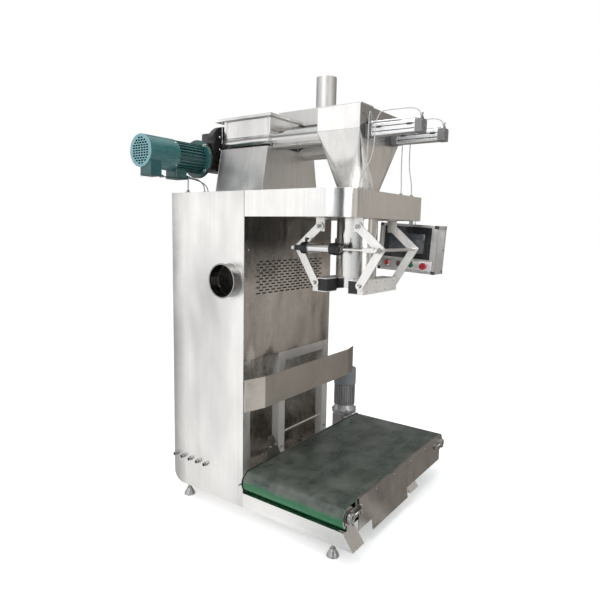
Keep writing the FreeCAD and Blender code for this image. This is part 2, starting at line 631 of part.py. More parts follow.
def make_rotor(name, x, sign):
    """Worm, shaft, rotor pack and cooling fan of one screw motor, in one turning piece."""
    def bar(radius, near, far):
        return round_bar("X", radius, *span(x, sign, near, far), DRIVE, WORM)

    base = MOTOR_START
    fan = f"{base}+frame_length+20"
    worm = bar("20", "-42", "38")
    shaft = bar("motor_shaft", "38", f"{fan}+34")
    pack = bar("motor_radius*0.55", f"{base}+24", f"{base}+frame_length-24")
    disc = bar("motor_radius-14", fan, f"{fan}+4")
    blades = profile("YZ", [ribbed(18, size("motor_radius") - 16, 7, 0.86, 0.90, 0.96)], "28",
                     x=span(x, sign, f"{fan}+4", f"{fan}+32")[0], y=DRIVE, z=WORM)
    node(name, joined(worm, shaft, pack, disc, blades))


def make_discharge():
    """The box over the spout, which turns from square to round below the screws."""
    bends = int(size("chute_bends"))

    def square_to_round(half_x, half_y, top, radius, bottom):
        """Four flat triangles, and at each corner a fan of narrow ones down to the round end."""
        upper = [Vector(half_x, half_y, top), Vector(-half_x, half_y, top), Vector(-half_x, -half_y, top),
                 Vector(half_x, -half_y, top)]
        ring = [Vector(radius * math.cos(math.pi * n / 2 / bends),
                       radius * math.sin(math.pi * n / 2 / bends), bottom)
                for n in range(4 * bends)]
        faces = [Part.Face(Part.makePolygon(upper + upper[:1])), Part.Face(Part.makePolygon(ring + ring[:1]))]
        for n, corner in enumerate(upper):
            for step in range(n * bends, (n + 1) * bends):
                start, end = ring[step], ring[(step + 1) % len(ring)]
                faces.append(Part.Face(Part.makePolygon([corner, start, end, corner])))
            faces.append(Part.Face(Part.makePolygon([corner, upper[(n + 1) % 4], end, corner])))
        solid = Part.makeSolid(Part.makeShell(faces))
        return solid if solid.Volume > 0 else solid.reversed()

    half_x, half_y = value(BOX_HALF), value(BOX_BACK)
    wall = size("sheet")
    low, high = size("chute_outlet"), size("box_bottom")
    outer = new("Part::Feature", "ChuteOuter")
    outer.Shape = square_to_round(half_x, half_y, high, size("chute_radius"), low)
    inner = new("Part::Feature", "ChuteInner")
    inner.Shape = square_to_round(half_x - wall, half_y - wall, high, size("chute_radius") - wall, low)
    box_outer = block((f"-({BOX_HALF})", BOX_HALF), (f"-({BOX_BACK})", BOX_BACK), ("box_bottom", "box_top"))
    box_inner = block((f"-({BOX_HALF})+sheet", f"{BOX_HALF}-sheet"),
                      (f"-({BOX_BACK})+sheet", f"{BOX_BACK}-sheet"),
                      ("box_bottom", "box_top-sheet"))
    tools = [inner, box_inner]
    for x, radius in ((FINE, "fine_radius"), (COARSE, "coarse_radius")):
        tools.append(round_bar("Y", f"{radius}+fit_gap", f"{BOX_BACK}-60", f"{BOX_BACK}+1", x,
                               "screw_height"))
        tools.append(round_bar("Y", "gate_rod+1", f"-({BOX_BACK})-1", "0", x, "screw_height"))
    outlet = round_bar("Z", "chute_radius-sheet", "chute_outlet-1", "chute_outlet+0.5", 0, 0)
    vent_hole = round_bar("Z", "vent_radius*0.4", "box_top-sheet-1", "box_top+1", "screw_spacing/2+35",
                          "hood_start+32")
    node("discharge_chute", cut(joined(outer, box_outer), *tools, outlet, vent_hole))

    hood_left, hood_right = "screw_spacing/2+35-hood_width/2", "screw_spacing/2+35+hood_width/2"
    hood = block((hood_left, hood_right), ("hood_start", "hood_end"), ("box_top", "hood_top"))
    room = block((f"{hood_left}+sheet", f"{hood_right}-sheet"), ("hood_start+sheet", "hood_end-sheet"),
                 ("box_top+sheet", "hood_top-sheet"))
    rim_room = block((f"{hood_left}-1", f"{hood_right}+1"), (f"{HOPPER_FRONT}-rim_width-0.3", "hood_end+1"),
                     ("box_top-1", "hopper_top+rim_height"))
    pipe_hole = round_bar("Z", "vent_radius-2", "hood_top-sheet-1", "hood_top+1", "screw_spacing/2+35",
                          "vent_place")
    box_hole = round_bar("Z", "vent_radius*0.4", "box_top-1", "box_top+sheet+1", "screw_spacing/2+35",
                         "hood_start+32")
    pipe = tube("Z", "vent_radius", 2, "hood_top", "vent_top", "screw_spacing/2+35", "vent_place")
    node("vent_hood", joined(cut(hood, room, rim_room, pipe_hole, box_hole), pipe))
    spout = tube("Z", "spout_radius", 3, "spout_bottom", "chute_outlet", 0, 0)
    collar = tube("Z", "spout_radius+22", 22, "deck_height", "deck_height+6", 0, 0)
    node("filling_spout", joined(spout, collar))


def make_gates():
    """Air cylinders that push a plug into each screw's mouth."""
    cylinders = []
    for name, x, bore in (("fine_gate", FINE, "fine_radius-barrel_wall"),
                          ("coarse_gate", COARSE, "coarse_radius-barrel_wall")):
        half = "gate_square/2"
        front, back = f"-({BOX_BACK})-gate_body", f"-({BOX_BACK})"
        body = rounded(block((f"({x})-{half}+2", f"({x})+{half}-2"),
                             (f"{front}+gate_cap", f"{back}-gate_cap"),
                             (f"screw_height-{half}+2", f"screw_height+{half}-2")), "5", along_y)
        caps = [rounded(block((f"({x})-{half}", f"({x})+{half}"), (low, high),
                              (f"screw_height-{half}", f"screw_height+{half}")), "4", along_y)
                for low, high in ((front, f"{front}+gate_cap"), (f"{back}-gate_cap", back))]
        grooves = [block((f"({x})+({dx})-3", f"({x})+({dx})+3"), (f"{front}+gate_cap", f"{back}-gate_cap"),
                         (f"screw_height+{half}-5", f"screw_height+{half}")) for dx in (-16, 16)]
        ports = [round_bar("Z", 6, f"screw_height+{half}", f"screw_height+{half}+12", x, y)
                 for y in (f"{front}+gate_cap/2", f"{back}-gate_cap/2")]
        room = round_bar("Y", "gate_bore", f"{front}+12", f"{back}-14", x, "screw_height")
        way = round_bar("Y", "gate_rod+fit_gap", f"{back}-15", f"{back}+1", x, "screw_height")
        cylinders.append(cut(joined(body, *caps, *ports), room, way, *grooves))
        start = f"{front}+14"
        rod = round_bar("Y", "gate_rod", start, f"{BOX_BACK}-gate_stroke-9", x, "screw_height")
        piston = round_bar("Y", "gate_bore-fit_gap", start, f"{start}+22", x, "screw_height")
        plug = round_bar("Y", f"{bore}-2", f"{BOX_BACK}-gate_stroke-9", f"{BOX_BACK}-gate_stroke", x,
                         "screw_height")
        nose = taper("Y", f"{bore}-6", f"({bore})*0.6", f"{BOX_BACK}-gate_stroke",
                     f"{BOX_BACK}-gate_stroke+5", x,
                     "screw_height")
        node(name, joined(rod, piston, plug, nose))
    node("gate_cylinders", group(*cylinders))


def arm_outline(side):
    """A bent clamp arm: pivot, apex and jaw pin, joined by two straight bars with a sharp outer corner."""
    pivot = Vector(side * size("pivot_spread"), size("pivot_height"), 0)
    apex = pivot + Vector(side * size("apex_out"), -size("apex_drop"), 0)
    jaw = pivot + Vector(side * size("jaw_pin_out"), -size("jaw_pin_drop"), 0)
    half = size("arm_width") / 2
    upper, lower = (apex - pivot).normalize(), (jaw - apex).normalize()
    square_upper, square_lower = Vector(-upper.y, upper.x, 0), Vector(-lower.y, lower.x, 0)
    bisector = (square_upper + square_lower).normalize()
    reach = half / math.sin(upper.getAngle(lower * -1) / 2)
    points = [pivot - upper * half + square_upper * half, apex + bisector * reach,
              jaw + lower * half + square_lower * half,
              jaw + lower * half - square_lower * half, apex - bisector * reach,
              pivot - upper * half - square_upper * half]
    loop = outline([(p.x, p.y) for p in points], [half * 0.9, 0, half * 0.9, half * 0.9, 0, half * 0.9])
    holes = [circle(p.x, p.y, size("pin_radius") + gap) for p,
             gap in ((pivot, size("pin_gap")), (apex, 0), (jaw, 0))]
    return [loop] + holes


def make_clamp():
    hangers = []
    for side in (-1, 1):
        for face in (-1, 1):
            y = f"({side})*pivot_spread"
            inner, outer = f"({face})*(arm_plane-arm_plate/2-8)", f"({face})*(arm_plane-arm_plate/2-0.5)"
            far = f"({face})*(arm_plane+arm_plate/2+0.5)"
            tip = f"({face})*(arm_plane+arm_plate/2+7)"
            plate = block(in_order(face, inner, outer), (f"{y}-26", f"{y}+26"),
                          ("pivot_height-26", PLATFORM_UNDER))
            pin = round_bar("X", "pin_radius", *in_order(face, outer, tip), y, "pivot_height")
            head = round_bar("X", "pin_radius*1.7", *in_order(face, far, tip), y, "pivot_height")
            foot = block(in_order(face, f"({face})*(arm_plane-arm_plate/2-40)", outer),
                         (f"{y}-26", f"{y}+26"),
                         (f"{PLATFORM_UNDER}-6", PLATFORM_UNDER))
            hangers.append(joined(plate, pin, head, foot))
    node("clamp_hangers", group(*hangers))

    for side, word in ((-1, "front"), (1, "back")):
        arms = [profile("YZ", arm_outline(side), "arm_plate", x=f"({face})*arm_plane-arm_plate/2")
                for face in (-1, 1)]
        apex_y, apex_z = f"({side})*(pivot_spread+apex_out)", "pivot_height-apex_drop"
        cross_rod = round_bar("X", "pin_radius", "-cylinder_plane-20", "arm_plane+arm_plate/2+8", apex_y,
                              apex_z)
        node(f"{word}_clamp_arms", joined(*arms, cross_rod))

        near, far = ("-jaw_outer", "-jaw_inner") if side < 0 else ("jaw_inner", "jaw_outer")
        reach = "arm_plane-arm_plate/2"
        case = block((f"-({reach})", reach), (near, far), ("jaw_bottom", "jaw_bottom+jaw_height"))
        if side < 0:
            room_y = (f"{near}+jaw_sheet", f"{far}+1")
        else:
            room_y = (f"{near}-1", f"{far}-jaw_sheet")
        room = block((f"-({reach})-1", f"{reach}+1"), room_y,
                     ("jaw_bottom+jaw_sheet", "jaw_bottom+jaw_height-jaw_sheet"))
        clearance = round_bar("Z", "spout_radius+6", "jaw_bottom-1", "jaw_bottom+jaw_height+1", 0, 0)
        jaw_y, jaw_z = f"({side})*(pivot_spread+jaw_pin_out)", "pivot_height-jaw_pin_drop"
        pins = [round_bar("X", "pin_radius-fit_gap", low, high, jaw_y, jaw_z)
                for low, high in (("-arm_plane-arm_plate/2-4", "-arm_plane+arm_plate/2+3"),
                                  ("arm_plane-arm_plate/2-3", "arm_plane+arm_plate/2+4"))]
        ears = [block((low, high), (f"{jaw_y}-16", f"{jaw_y}+16"),
                      ("jaw_bottom+jaw_sheet", "jaw_bottom+jaw_height-jaw_sheet"))
                for low, high in ((f"-({reach})", f"-({reach})+4"), (f"{reach}-4", reach))]
        node(f"{word}_jaw", joined(cut(case, room, clearance), *ears, *pins))
        pad = block((f"-({reach})+5", f"{reach}-5"),
                    (room_y[0] if side < 0 else "jaw_inner+2", "-jaw_inner-2" if side < 0 else room_y[1]),
                    ("jaw_bottom+jaw_sheet", "jaw_bottom+jaw_height-jaw_sheet"))
        pad_bore = round_bar("Z", "spout_radius+pad_gap", "jaw_bottom-1", "jaw_bottom+jaw_height+1", 0, 0)
        node(f"{word}_jaw_pad", cut(pad, pad_bore))

    apex_z = "pivot_height-apex_drop"
    back_pin, front_pin = "pivot_spread+apex_out", "-pivot_spread-apex_out"
    x = "-cylinder_plane"
    rear_cap = round_bar("Y", "cylinder_cap", "151", "194", x, apex_z)
    barrel = round_bar("Y", "cylinder_tube", "17", "151", x, apex_z)
    front_cap = round_bar("Y", "cylinder_cap", "-43", "17", x, apex_z)
    lug = block((f"{x}-10", f"{x}+10"), ("194", back_pin), (f"{apex_z}-14", f"{apex_z}+14"))
    eye = round_bar("X", 14, f"{x}-10", f"{x}+10", back_pin, apex_z)
    ports = [round_bar("Z", 7, f"{apex_z}+cylinder_cap-3", f"{apex_z}+cylinder_cap+9", x, y) for y in ("172",
                                                                                                       "-13")]
    bore = round_bar("Y", "cylinder_bore", "-31", "184", x, apex_z)
    way = round_bar("Y", "clamp_rod_radius+fit_gap", "-44", "-30", x, apex_z)
    pin_way = round_bar("X", "pin_radius+pin_gap", f"{x}-11", f"{x}+11", back_pin, apex_z)
    node("clamp_cylinder", cut(joined(rear_cap, barrel, front_cap, lug, eye, *ports), bore, way, pin_way))
    rod = round_bar("Y", "clamp_rod_radius", "-176", "176", x, apex_z)
    piston = round_bar("Y", "cylinder_bore-fit_gap", "152", "176", x, apex_z)
    fork = rounded(block((f"{x}-13", f"{x}+13"), (f"{front_pin}-12", "-172"),
                         (f"{apex_z}-13", f"{apex_z}+13")),
                   "3", along_y)
    nut = round_bar("Y", 12, "-172", "-160", x, apex_z)
    fork_pin_way = round_bar("X", "pin_radius+pin_gap", f"{x}-14", f"{x}+14", front_pin, apex_z)
    node("clamp_rod", cut(joined(rod, piston, fork, nut), fork_pin_way))


def make_panel():
    """The hanging operator box; its pieces tilt together about its middle, along X."""
    half_w, half_h = "panel_width/2", "panel_height/2"
    front = "-panel_depth/2"
    tilt = Rotation(Vector(1, 0, 0), size("panel_tilt"))

    def hung(name, item, *upright_items):
        holder = new("Part::Compound", "Hung")
        holder.Links = [item]
        bind(holder, {"Placement.Base.x": "panel_side", "Placement.Base.y": "-panel_forward",
                      "Placement.Base.z": "panel_middle"})
        holder.Placement = Placement(Vector(size("panel_side"), -size("panel_forward"),
                                            size("panel_middle")), tilt)
        node(name, joined(holder, *upright_items))

    case = block((f"{front}+4", "panel_depth/2-4"), (f"-({half_w})+4", f"{half_w}-4"),
                 (f"-({half_h})+4", f"{half_h}-4"))
    rails = []
    corner = "panel_corner"
    for sy in (-1, 1):
        for sz in (-1, 1):
            y = (f"-({half_w})", f"-({half_w})+{corner}") if sy < 0 else (f"{half_w}-{corner}", half_w)
            z = (f"-({half_h})", f"-({half_h})+{corner}") if sz < 0 else (f"{half_h}-{corner}", half_h)
            rails.append(block((front, "panel_depth/2"), y, z))
    for x in ((front, f"{front}+{corner}"), (f"panel_depth/2-{corner}", "panel_depth/2")):
        for sz in (-1, 1):
            z = (f"-({half_h})", f"-({half_h})+{corner}") if sz < 0 else (f"{half_h}-{corner}", half_h)
            rails.append(block(x, (f"-({half_w})", half_w), z))
        for sy in (-1, 1):
            y = (f"-({half_w})", f"-({half_w})+{corner}") if sy < 0 else (f"{half_w}-{corner}", half_w)
            rails.append(block(x, y, (f"-({half_h})", half_h)))
    neck = round_bar("Z", "arm_tube*0.8", f"panel_middle+{half_h}-12", "arm_end", "panel_side",
                     "-panel_forward")
    window = block((f"{front}-1", f"{front}+9"), ("-148", "152"), ("-60", "128"))
    holes = [round_bar("X", radius, f"{front}-1", f"{front}+30", y, "-98")
             for y, radius in ((124, 11.3), (44, 11.3), (-36, 11.3), (-120, 11.3))]
    hung("panel_box", cut(joined(case, *rails), window, *holes), neck)
    bezel = rounded(block((f"{front}+1.5", f"{front}+9"), ("-147.7", "151.7"), ("-59.7", "127.7")), "4",
                    along_x)
    screen_dip = block((f"{front}+1", f"{front}+3"), ("-118", "128"), ("-36", "96"))
    hung("panel_screen", cut(bezel, screen_dip))
    for name, y in (("power_button", 124), ("reset_button", 44), ("start_button", -36)):
        stem = round_bar("X", 11, f"{front}-4", f"{front}+26", y, "-98")
        cap = round_bar("X", 15, f"{front}-4", f"{front}", y, "-98")
        hung(name, joined(stem, cap))
    stem = round_bar("X", 11, f"{front}-18", f"{front}+24", -120, "-98")
    mushroom = taper("X", 17, 21, f"{front}-34", f"{front}-22", -120, "-98")
    brim = round_bar("X", 21, f"{front}-22", f"{front}-14", -120, "-98")
    hung("stop_button", joined(stem, mushroom, brim))
    flange = round_bar("X", "arm_tube*1.7", HALF, f"{HALF}+8", "-panel_forward", "arm_height")
    reach = round_bar("X", "arm_tube", f"{HALF}+8", "panel_side", "-panel_forward", "arm_height")
    elbow = new("Part::Sphere", "Elbow")
    bind(elbow, {"Radius": "arm_tube"})
    at(elbow, "panel_side", "-panel_forward", "arm_height")
    drop = round_bar("Z", "arm_tube", "arm_end", "arm_height", "panel_side", "-panel_forward")
    cup = round_bar("Z", "arm_tube*1.3", "arm_end", "arm_end+14", "panel_side", "-panel_forward")
    node("panel_arm", joined(flange, reach, elbow, drop, cup))


def make_conveyor():
    near_y, far_y = "-belt_front-near_gap-side_plate", "belt_back+belt_gap"
    face = block(("-near_plate_start", "near_plate_end"), (near_y, f"{near_y}+side_plate"),
                 ("side_fold", "side_top"))
    brim = block(("-near_plate_start", "near_plate_end"), (near_y, f"{near_y}+14"),
                 ("side_top-3", "side_top"))
    fold = outline([(value(near_y), size("side_fold")),
                    (value(near_y) - size("side_flare"), size("side_bottom")),
                    (value(near_y) - size("side_flare") + size("side_plate"), size("side_bottom")),
                    (value(near_y) + size("side_plate"), size("side_fold"))])
    lip = profile("YZ", [fold], "lip_start+lip_end", x="-lip_start")
    feet = [block((f"-({HALF})+14", f"-({HALF})+100"), (f"{near_y}+side_plate", "-belt_front+30"),
                  (BEAM_TOP, f"{BEAM_TOP}+3")),
            block((f"{HALF}-95", f"{HALF}-20"), (f"{near_y}+side_plate", "-belt_front+60"),
                  (BEAM_TOP, f"{BEAM_TOP}+3"))]
    axis_z = "belt_height-belt_thickness-roller_radius-fit_gap"
    brackets = []
    for place, reach in (("-idler_place", "-near_plate_start+40"), ("drive_place", "near_plate_end-40")):
        low, high = (f"{place}-34", reach) if place.startswith("-") else (reach, f"{place}+34")
        inner_y = (f"{near_y}+side_plate", f"{near_y}+side_plate+bracket_plate")
        brackets.append(block((low, high), inner_y, (f"{axis_z}-32", f"{axis_z}+32")))
    shaft_ways = [round_bar("Y", "roller_shaft+pin_gap", f"{near_y}-1", f"{near_y}+20", place, axis_z)
                  for place in ("-idler_place", "drive_place")]
    post = block((f"-({HALF})+30", f"-({HALF})+80"),
                 (f"{near_y}+side_plate", f"{near_y}+side_plate+bracket_plate"),
                 (BEAM_TOP, f"{axis_z}-30"))
    near_side = cut(joined(face, brim, lip, post, *feet, *brackets), *shaft_ways)
    end_radius = value("belt_height") - value(axis_z) + 5
    left, right, level = -size("idler_place"), size("drive_place"), value(axis_z)
    ear_left, ear_top, ear_right = -208.0, 440.0, -90.0
    far_loop = [Part.Arc(Vector(left, level - end_radius, 0), Vector(left - end_radius, level, 0),
                         Vector(left, level + end_radius, 0))]
    points = [(left, level + end_radius), (ear_left, level + end_radius), (ear_left, ear_top),
              (ear_left + 44, ear_top),
              (ear_right, level + end_radius), (right, level + end_radius)]
    far_loop += [Part.LineSegment(Vector(*a, 0), Vector(*b, 0)) for a, b in zip(points, points[1:])]
    far_loop += [Part.Arc(Vector(right, level + end_radius, 0), Vector(right + end_radius, level, 0),
                          Vector(right, level - end_radius, 0)),
                 Part.LineSegment(Vector(right, level - end_radius, 0), Vector(left, level - end_radius, 0))]
    holes = [circle(place, level, size("roller_shaft") + size("pin_gap")) for place in (left, right)]
    far_side = profile("XZ", [far_loop] + holes, "side_plate", y=f"{far_y}+side_plate")
    node("conveyor_sides", group(near_side, far_side))

    under = "belt_height-belt_thickness"
    bed = block(("-idler_place+roller_radius+12", "drive_place-roller_radius-12"),
                ("-belt_front-2", "belt_back+belt_gap"), (f"{under}-5", f"{under}-1"))
    skirts = [block(("-idler_place+roller_radius+12", "drive_place-roller_radius-12"), y,
                    (f"{under}-40", f"{under}-5"))
              for y in (("-belt_front-2", "-belt_front+2"), ("belt_back+belt_gap-4", "belt_back+belt_gap"))]
    crossbars = [block((place, f"{place}+crossbar_width"), (f"{near_y}+side_plate", far_y),
                       (f"{axis_z}-crossbar_height", axis_z)) for place in ("-idler_place+140",
                                                                            "drive_place-190")]
    webs = [block((place, f"{place}+crossbar_width"), y, (axis_z, f"{under}-40"))
            for place in ("-idler_place+140", "drive_place-190")
            for y in (("-belt_front-2", "-belt_front+2"), ("belt_back+belt_gap-4", "belt_back+belt_gap"))]
    node("conveyor_bed", joined(bed, *skirts, *crossbars, *webs))

    outer_radius = size("belt_height") - level
    def racetrack(radius):
        return [Part.LineSegment(Vector(left, level + radius, 0), Vector(right, level + radius, 0)),
                Part.Arc(Vector(right, level + radius, 0), Vector(right + radius, level, 0),
                         Vector(right, level - radius, 0)),
                Part.LineSegment(Vector(right, level - radius, 0), Vector(left, level - radius, 0)),
                Part.Arc(Vector(left, level - radius, 0), Vector(left - radius, level, 0),
                         Vector(left, level + radius, 0))]
    node("conveyor_belt", profile("XZ",
                                  [racetrack(outer_radius), racetrack(outer_radius - size("belt_thickness"))],
                                  "belt_front+belt_back", y="belt_back"))

    for name, place in (("idler_roller", "-idler_place"), ("drive_roller", "drive_place")):
        drum = round_bar("Y", "roller_radius", "-belt_front-1", "belt_back+2", place, axis_z)
        end = f"{far_y}+side_plate+2" if name == "idler_roller" else "cabinet_front+conveyor_motor_back-20"
        shaft = round_bar("Y", "roller_shaft", f"{near_y}-6", end, place, axis_z)
        node(name, joined(drum, shaft))
    bearings = []
    for place in ("-idler_place", "drive_place"):
        ring = tube("Y", "roller_shaft*2.4", "roller_shaft*1.4-pin_gap", f"{near_y}-14", near_y, place,
                    axis_z)
        away = f"{place}+24" if place.startswith("-") else f"{place}-24"
        low, high = (f"{away}", f"{away}+80") if place.startswith("-") else (f"{away}-80", f"{away}")
        screw = round_bar("X", 5, low, high, f"{near_y}-7", axis_z)
        head_x = high if place.startswith("-") else low
        cross = round_bar("Z", 6, f"{axis_z}-20", f"{axis_z}+20", head_x, f"{near_y}-7")
        bearings.append(joined(ring, screw, cross))
    for place in ("-idler_place",):
        far = f"{far_y}+side_plate"
        bearings.append(tube("Y", "roller_shaft*2", "roller_shaft-pin_gap", far, f"{far}+2.5", place, axis_z))
        bearings.append(round_bar("X", 4, f"{place}-86", f"{place}-roller_radius-8.3", f"{far}-2", axis_z))
    node("take_up_bearings", group(*bearings))

    motor_x, motor_y = "drive_place+conveyor_motor_side", "cabinet_front+conveyor_motor_back"
    case = rounded(block(("drive_place-56", f"{motor_x}+52"), (f"{motor_y}-46", f"{motor_y}+46"),
                         (f"{axis_z}-66", f"{axis_z}+44")), "10", upright)
    nose = round_bar("Y", 42, f"{far_y}+side_plate", f"{motor_y}-46", "drive_place", axis_z)
    shaft_way = round_bar("Y", "roller_shaft+pin_gap", far_y, f"{motor_y}+30", "drive_place", axis_z)
    worm_way = round_bar("Z", 17, f"{axis_z}-40", f"{axis_z}+60", motor_x, motor_y)
    node("conveyor_gearbox", cut(joined(case, nose), shaft_way, worm_way))
    low, high = "conveyor_motor_bottom", "conveyor_motor_top"
    flange = round_bar("Z", "conveyor_motor_radius+8", f"{axis_z}+44", f"{low}+12", motor_x, motor_y)
    bell = taper("Z", "conveyor_motor_radius+2", "conveyor_motor_radius*0.84", f"{low}+12", f"{low}+50",
                 motor_x, motor_y)
    ribs = profile("XY", [ribbed(size("conveyor_motor_radius") * 0.84, size("conveyor_motor_radius") * 0.96,
                                 28)],
                   "158", x=motor_x, y=motor_y, z=f"{low}+50")
    room = round_bar("Z", "conveyor_motor_radius*0.66", f"{low}+14", f"{low}+209", motor_x, motor_y)
    way = round_bar("Z", 13, f"{axis_z}+43", f"{low}+15", motor_x, motor_y)
    node("conveyor_motor_frame", cut(joined(flange, bell, ribs), room, way))
    cover = round_bar("Z", "conveyor_motor_radius", f"{low}+208", high, motor_x, motor_y)
    air = round_bar("Z", "conveyor_motor_radius-3", f"{low}+207", f"{high}-3", motor_x, motor_y)
    slots = grille_slots("Z", "conveyor_motor_radius", f"{high}-4", f"{high}+1", motor_x, motor_y)
    node("conveyor_motor_cowl", cut(cover, air, *slots))
    shaft = round_bar("Z", 12, f"{axis_z}-38", f"{high}-20", motor_x, motor_y)
    worm = round_bar("Z", 16, f"{axis_z}-38", f"{axis_z}+36", motor_x, motor_y)
    pack = round_bar("Z", "conveyor_motor_radius*0.5", f"{low}+30", f"{low}+190", motor_x, motor_y)
    disc = round_bar("Z", "conveyor_motor_radius-14", f"{low}+226", f"{low}+230", motor_x, motor_y)
    blades = profile("XY", [ribbed(18, size("conveyor_motor_radius") - 16, 7, 0.86, 0.90, 0.96)], "24",
                     x=motor_x, y=motor_y, z=f"{low}+230")
    node("conveyor_rotor", joined(shaft, worm, pack, disc, blades))


def make_guard():
    far = "belt_back+belt_gap+side_plate"
    top = "guard_top"
    left, right = "-post_left", f"{HALF}-sheet-4"
    posts = []
    for low, high in ((left, f"{left}+post_width"), (f"{right}-post_width", right)):
        solid = block((low, high), (far, f"{far}+post_depth"), (f"{BEAM_TOP}+2", top))
        hollow = block((f"{low}+4", f"{high}-4"), (f"{far}+4", f"{far}+post_depth+1"),
                       (f"{BEAM_TOP}", f"{top}-4"))
        posts.append(cut(solid, hollow))
    bar = block((f"{left}+post_width", f"{right}-post_width"), (far, f"{far}+post_depth"), (f"{top}-56", top))
    bar_hollow = block((f"{left}+post_width-1", f"{right}-post_width+1"), (f"{far}+4", f"{far}+post_depth+1"),
                       (f"{top}-52", f"{top}-4"))
    tie = round_bar("X", 6, f"{left}+post_width", f"{right}-post_width", f"{far}+post_depth/2", 415)
    arms = [block((x, f"{x}+30"), ("guard_plate_back+3", far), (780, 810))
            for x in (f"{left}+15", f"{right}-45")]
    node("guard_frame", joined(*posts, cut(bar, bar_hollow), tie, *arms))
    half, y = value(HALF), size("guard_plate_back")
    flare, turn = size("guard_flare"), math.radians(14)
    dx, dy = flare * math.cos(turn), flare * math.sin(turn)
    sheet_line = [(-half - dx, y + dy), (-half, y), (half, y), (half + dx * 0.9, y + dy * 0.9),
                  (half + dx * 0.9, y + dy * 0.9 + 3), (half, y + 3), (-half, y + 3),
                  (-half - dx, y + dy + 3)]
    node("guard_plate", profile("XY", [outline(sheet_line)], "guard_plate_height", z="guard_plate_bottom"))


def hose(points, radius):
    """A round hose of straight runs joined by tangent arcs through the given points."""
    route = [Vector(*point) for point in points]
    edges, start, bends = [], route[0], []
    for n in range(1, len(route) - 1):
        back, ahead = route[n - 1] - route[n], route[n + 1] - route[n]
        half = back.getAngle(ahead) / 2
        bend = 0.45 * min(back.Length, ahead.Length) * math.tan(half)
        reach = bend / math.tan(half)
        inward = back.normalize() + ahead.normalize()
        first, last = route[n] + back * reach, route[n] + ahead * reach
        middle = route[n] + inward.normalize() * (bend / math.sin(half) - bend)
        edges.append(Part.LineSegment(start, first).toShape())
        edges.append(Part.Arc(first, middle, last).toShape())
        start = last
        bends.append(round(bend))
    edges.append(Part.LineSegment(start, route[-1]).toShape())
    path = Part.Wire(edges)
    ring = Part.Wire([Part.Circle(route[0], route[1] - route[0], radius).toShape()])
    item = new("Part::Feature", "Hose")
    item.Shape = path.makePipe(Part.Face(ring))
    ideal = math.pi * radius ** 2 * path.Length
    print(f"hose radius {radius} bends {bends} length {path.Length:.0f} volume ratio {item.Shape.Volume / ideal:.4f}")
    return item


def make_hoses():
    deck, level = size("deck_height"), value(LEAD_LEVEL)
    leads = []
    for sign, middle in ((-1, value(FINE)), (1, value(COARSE))):
        base = middle + sign * value(MOTOR_START)
        end = base + sign * (size("frame_length") + size("cowl_length"))
        (x, y), *others = LEAD_PLACES
        y, side = y + value(FRONT), value(DRIVE) - 56
        leads.append(hose([(end - sign * 100, side, level - 13), (sign * (x + 36), side, level - 13),
                           (sign * x, y, level - 13), (sign * x, y, deck + 18)], 2.6))
        for x, y in others:
            y += value(FRONT)
            leads.append(hose([(base + sign * LEAD_START, y, level), (sign * x, y, level),
                               (sign * x, y, deck + 18)], 2.6))
    node("motor_leads", group(*leads))
    front, back = value(f"-({BOX_BACK})-gate_body+gate_cap/2"), value(f"-({BOX_BACK})-gate_cap/2")
    top = value("screw_height+gate_square/2+12")
    hoses = []
    for sign, middle, ends in ((-1, value(FINE), HOSE_PLACES[:2]), (1, value(COARSE), HOSE_PLACES[2:])):
        aside = middle + sign * 52
        near, far = (ends[1], ends[0]) if sign < 0 else (ends[0], ends[1])
        hoses.append(hose([(middle, back, top), (middle, back, top + 44), (aside, back - 12, top + 44),
                           (aside, back - 12, deck + 130), (*near, deck + 70), (*near, deck + 12)], 2.5))
        hoses.append(hose([(middle, front, top), (middle, front, top + 44),
                           (middle + sign * 8, back - 110, top + 46),
                           (aside + sign * 10, back - 56, top + 30),
                           (aside + sign * 10, back - 50, deck + 150),
                           (*far, deck + 72), (*far, deck + 12)], 2.5))
    node("air_hoses", group(*hoses))


make_cabinet()
make_perforated_panel()
make_recess()
make_door()
make_base()
make_platform()
make_wall_fittings()
make_stand()
make_hopper()
make_barrels()
make_auger("fine_auger", FINE, "fine_radius", "fine_pitch")
make_auger("coarse_auger", COARSE, "coarse_radius", "coarse_pitch")
make_drives()
make_rotor("fine_rotor", FINE, -1)
make_rotor("coarse_rotor", COARSE, 1)
make_discharge()
make_gates()
make_clamp()
make_panel()
make_conveyor()
make_guard()
make_hoses()

doc.recompute()
faults = [item.Label for item in doc.Objects if {"Invalid", "Error"} & set(item.State)]
faults += [item.Label for item in NODES if item.Shape.isNull() or not item.Shape.isValid()]
if faults:
    raise RuntimeError("failed: " + ", ".join(faults))

os.makedirs("parts", exist_ok=True)
for item in NODES:
    item.Shape.exportStep(f"parts/{item.Label}.step")
    box = item.Shape.BoundBox
    print(f"{item.Label:22s} solids {len(item.Shape.Solids)} volume {item.Shape.Volume / 1000:10.1f} cm3 "
          f"x {box.XMin:.0f}..{box.XMax:.0f} y {box.YMin:.0f}..{box.YMax:.0f} z {box.ZMin:.0f}..{box.ZMax:.0f}")
print(len(NODES), "nodes")
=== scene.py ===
"""Looks of the powder packaging machine: finishes, fastenings, welds, panel trim, leads and studio.

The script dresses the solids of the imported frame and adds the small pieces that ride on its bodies.
Everything is in metres in the frame's own axes: the belt runs along +X, the cabinet stands on the +Y side.
"""

import json
import math

import bmesh
import bpy
from bpy.props import FloatProperty, FloatVectorProperty, PointerProperty
from mathutils import Matrix, Vector


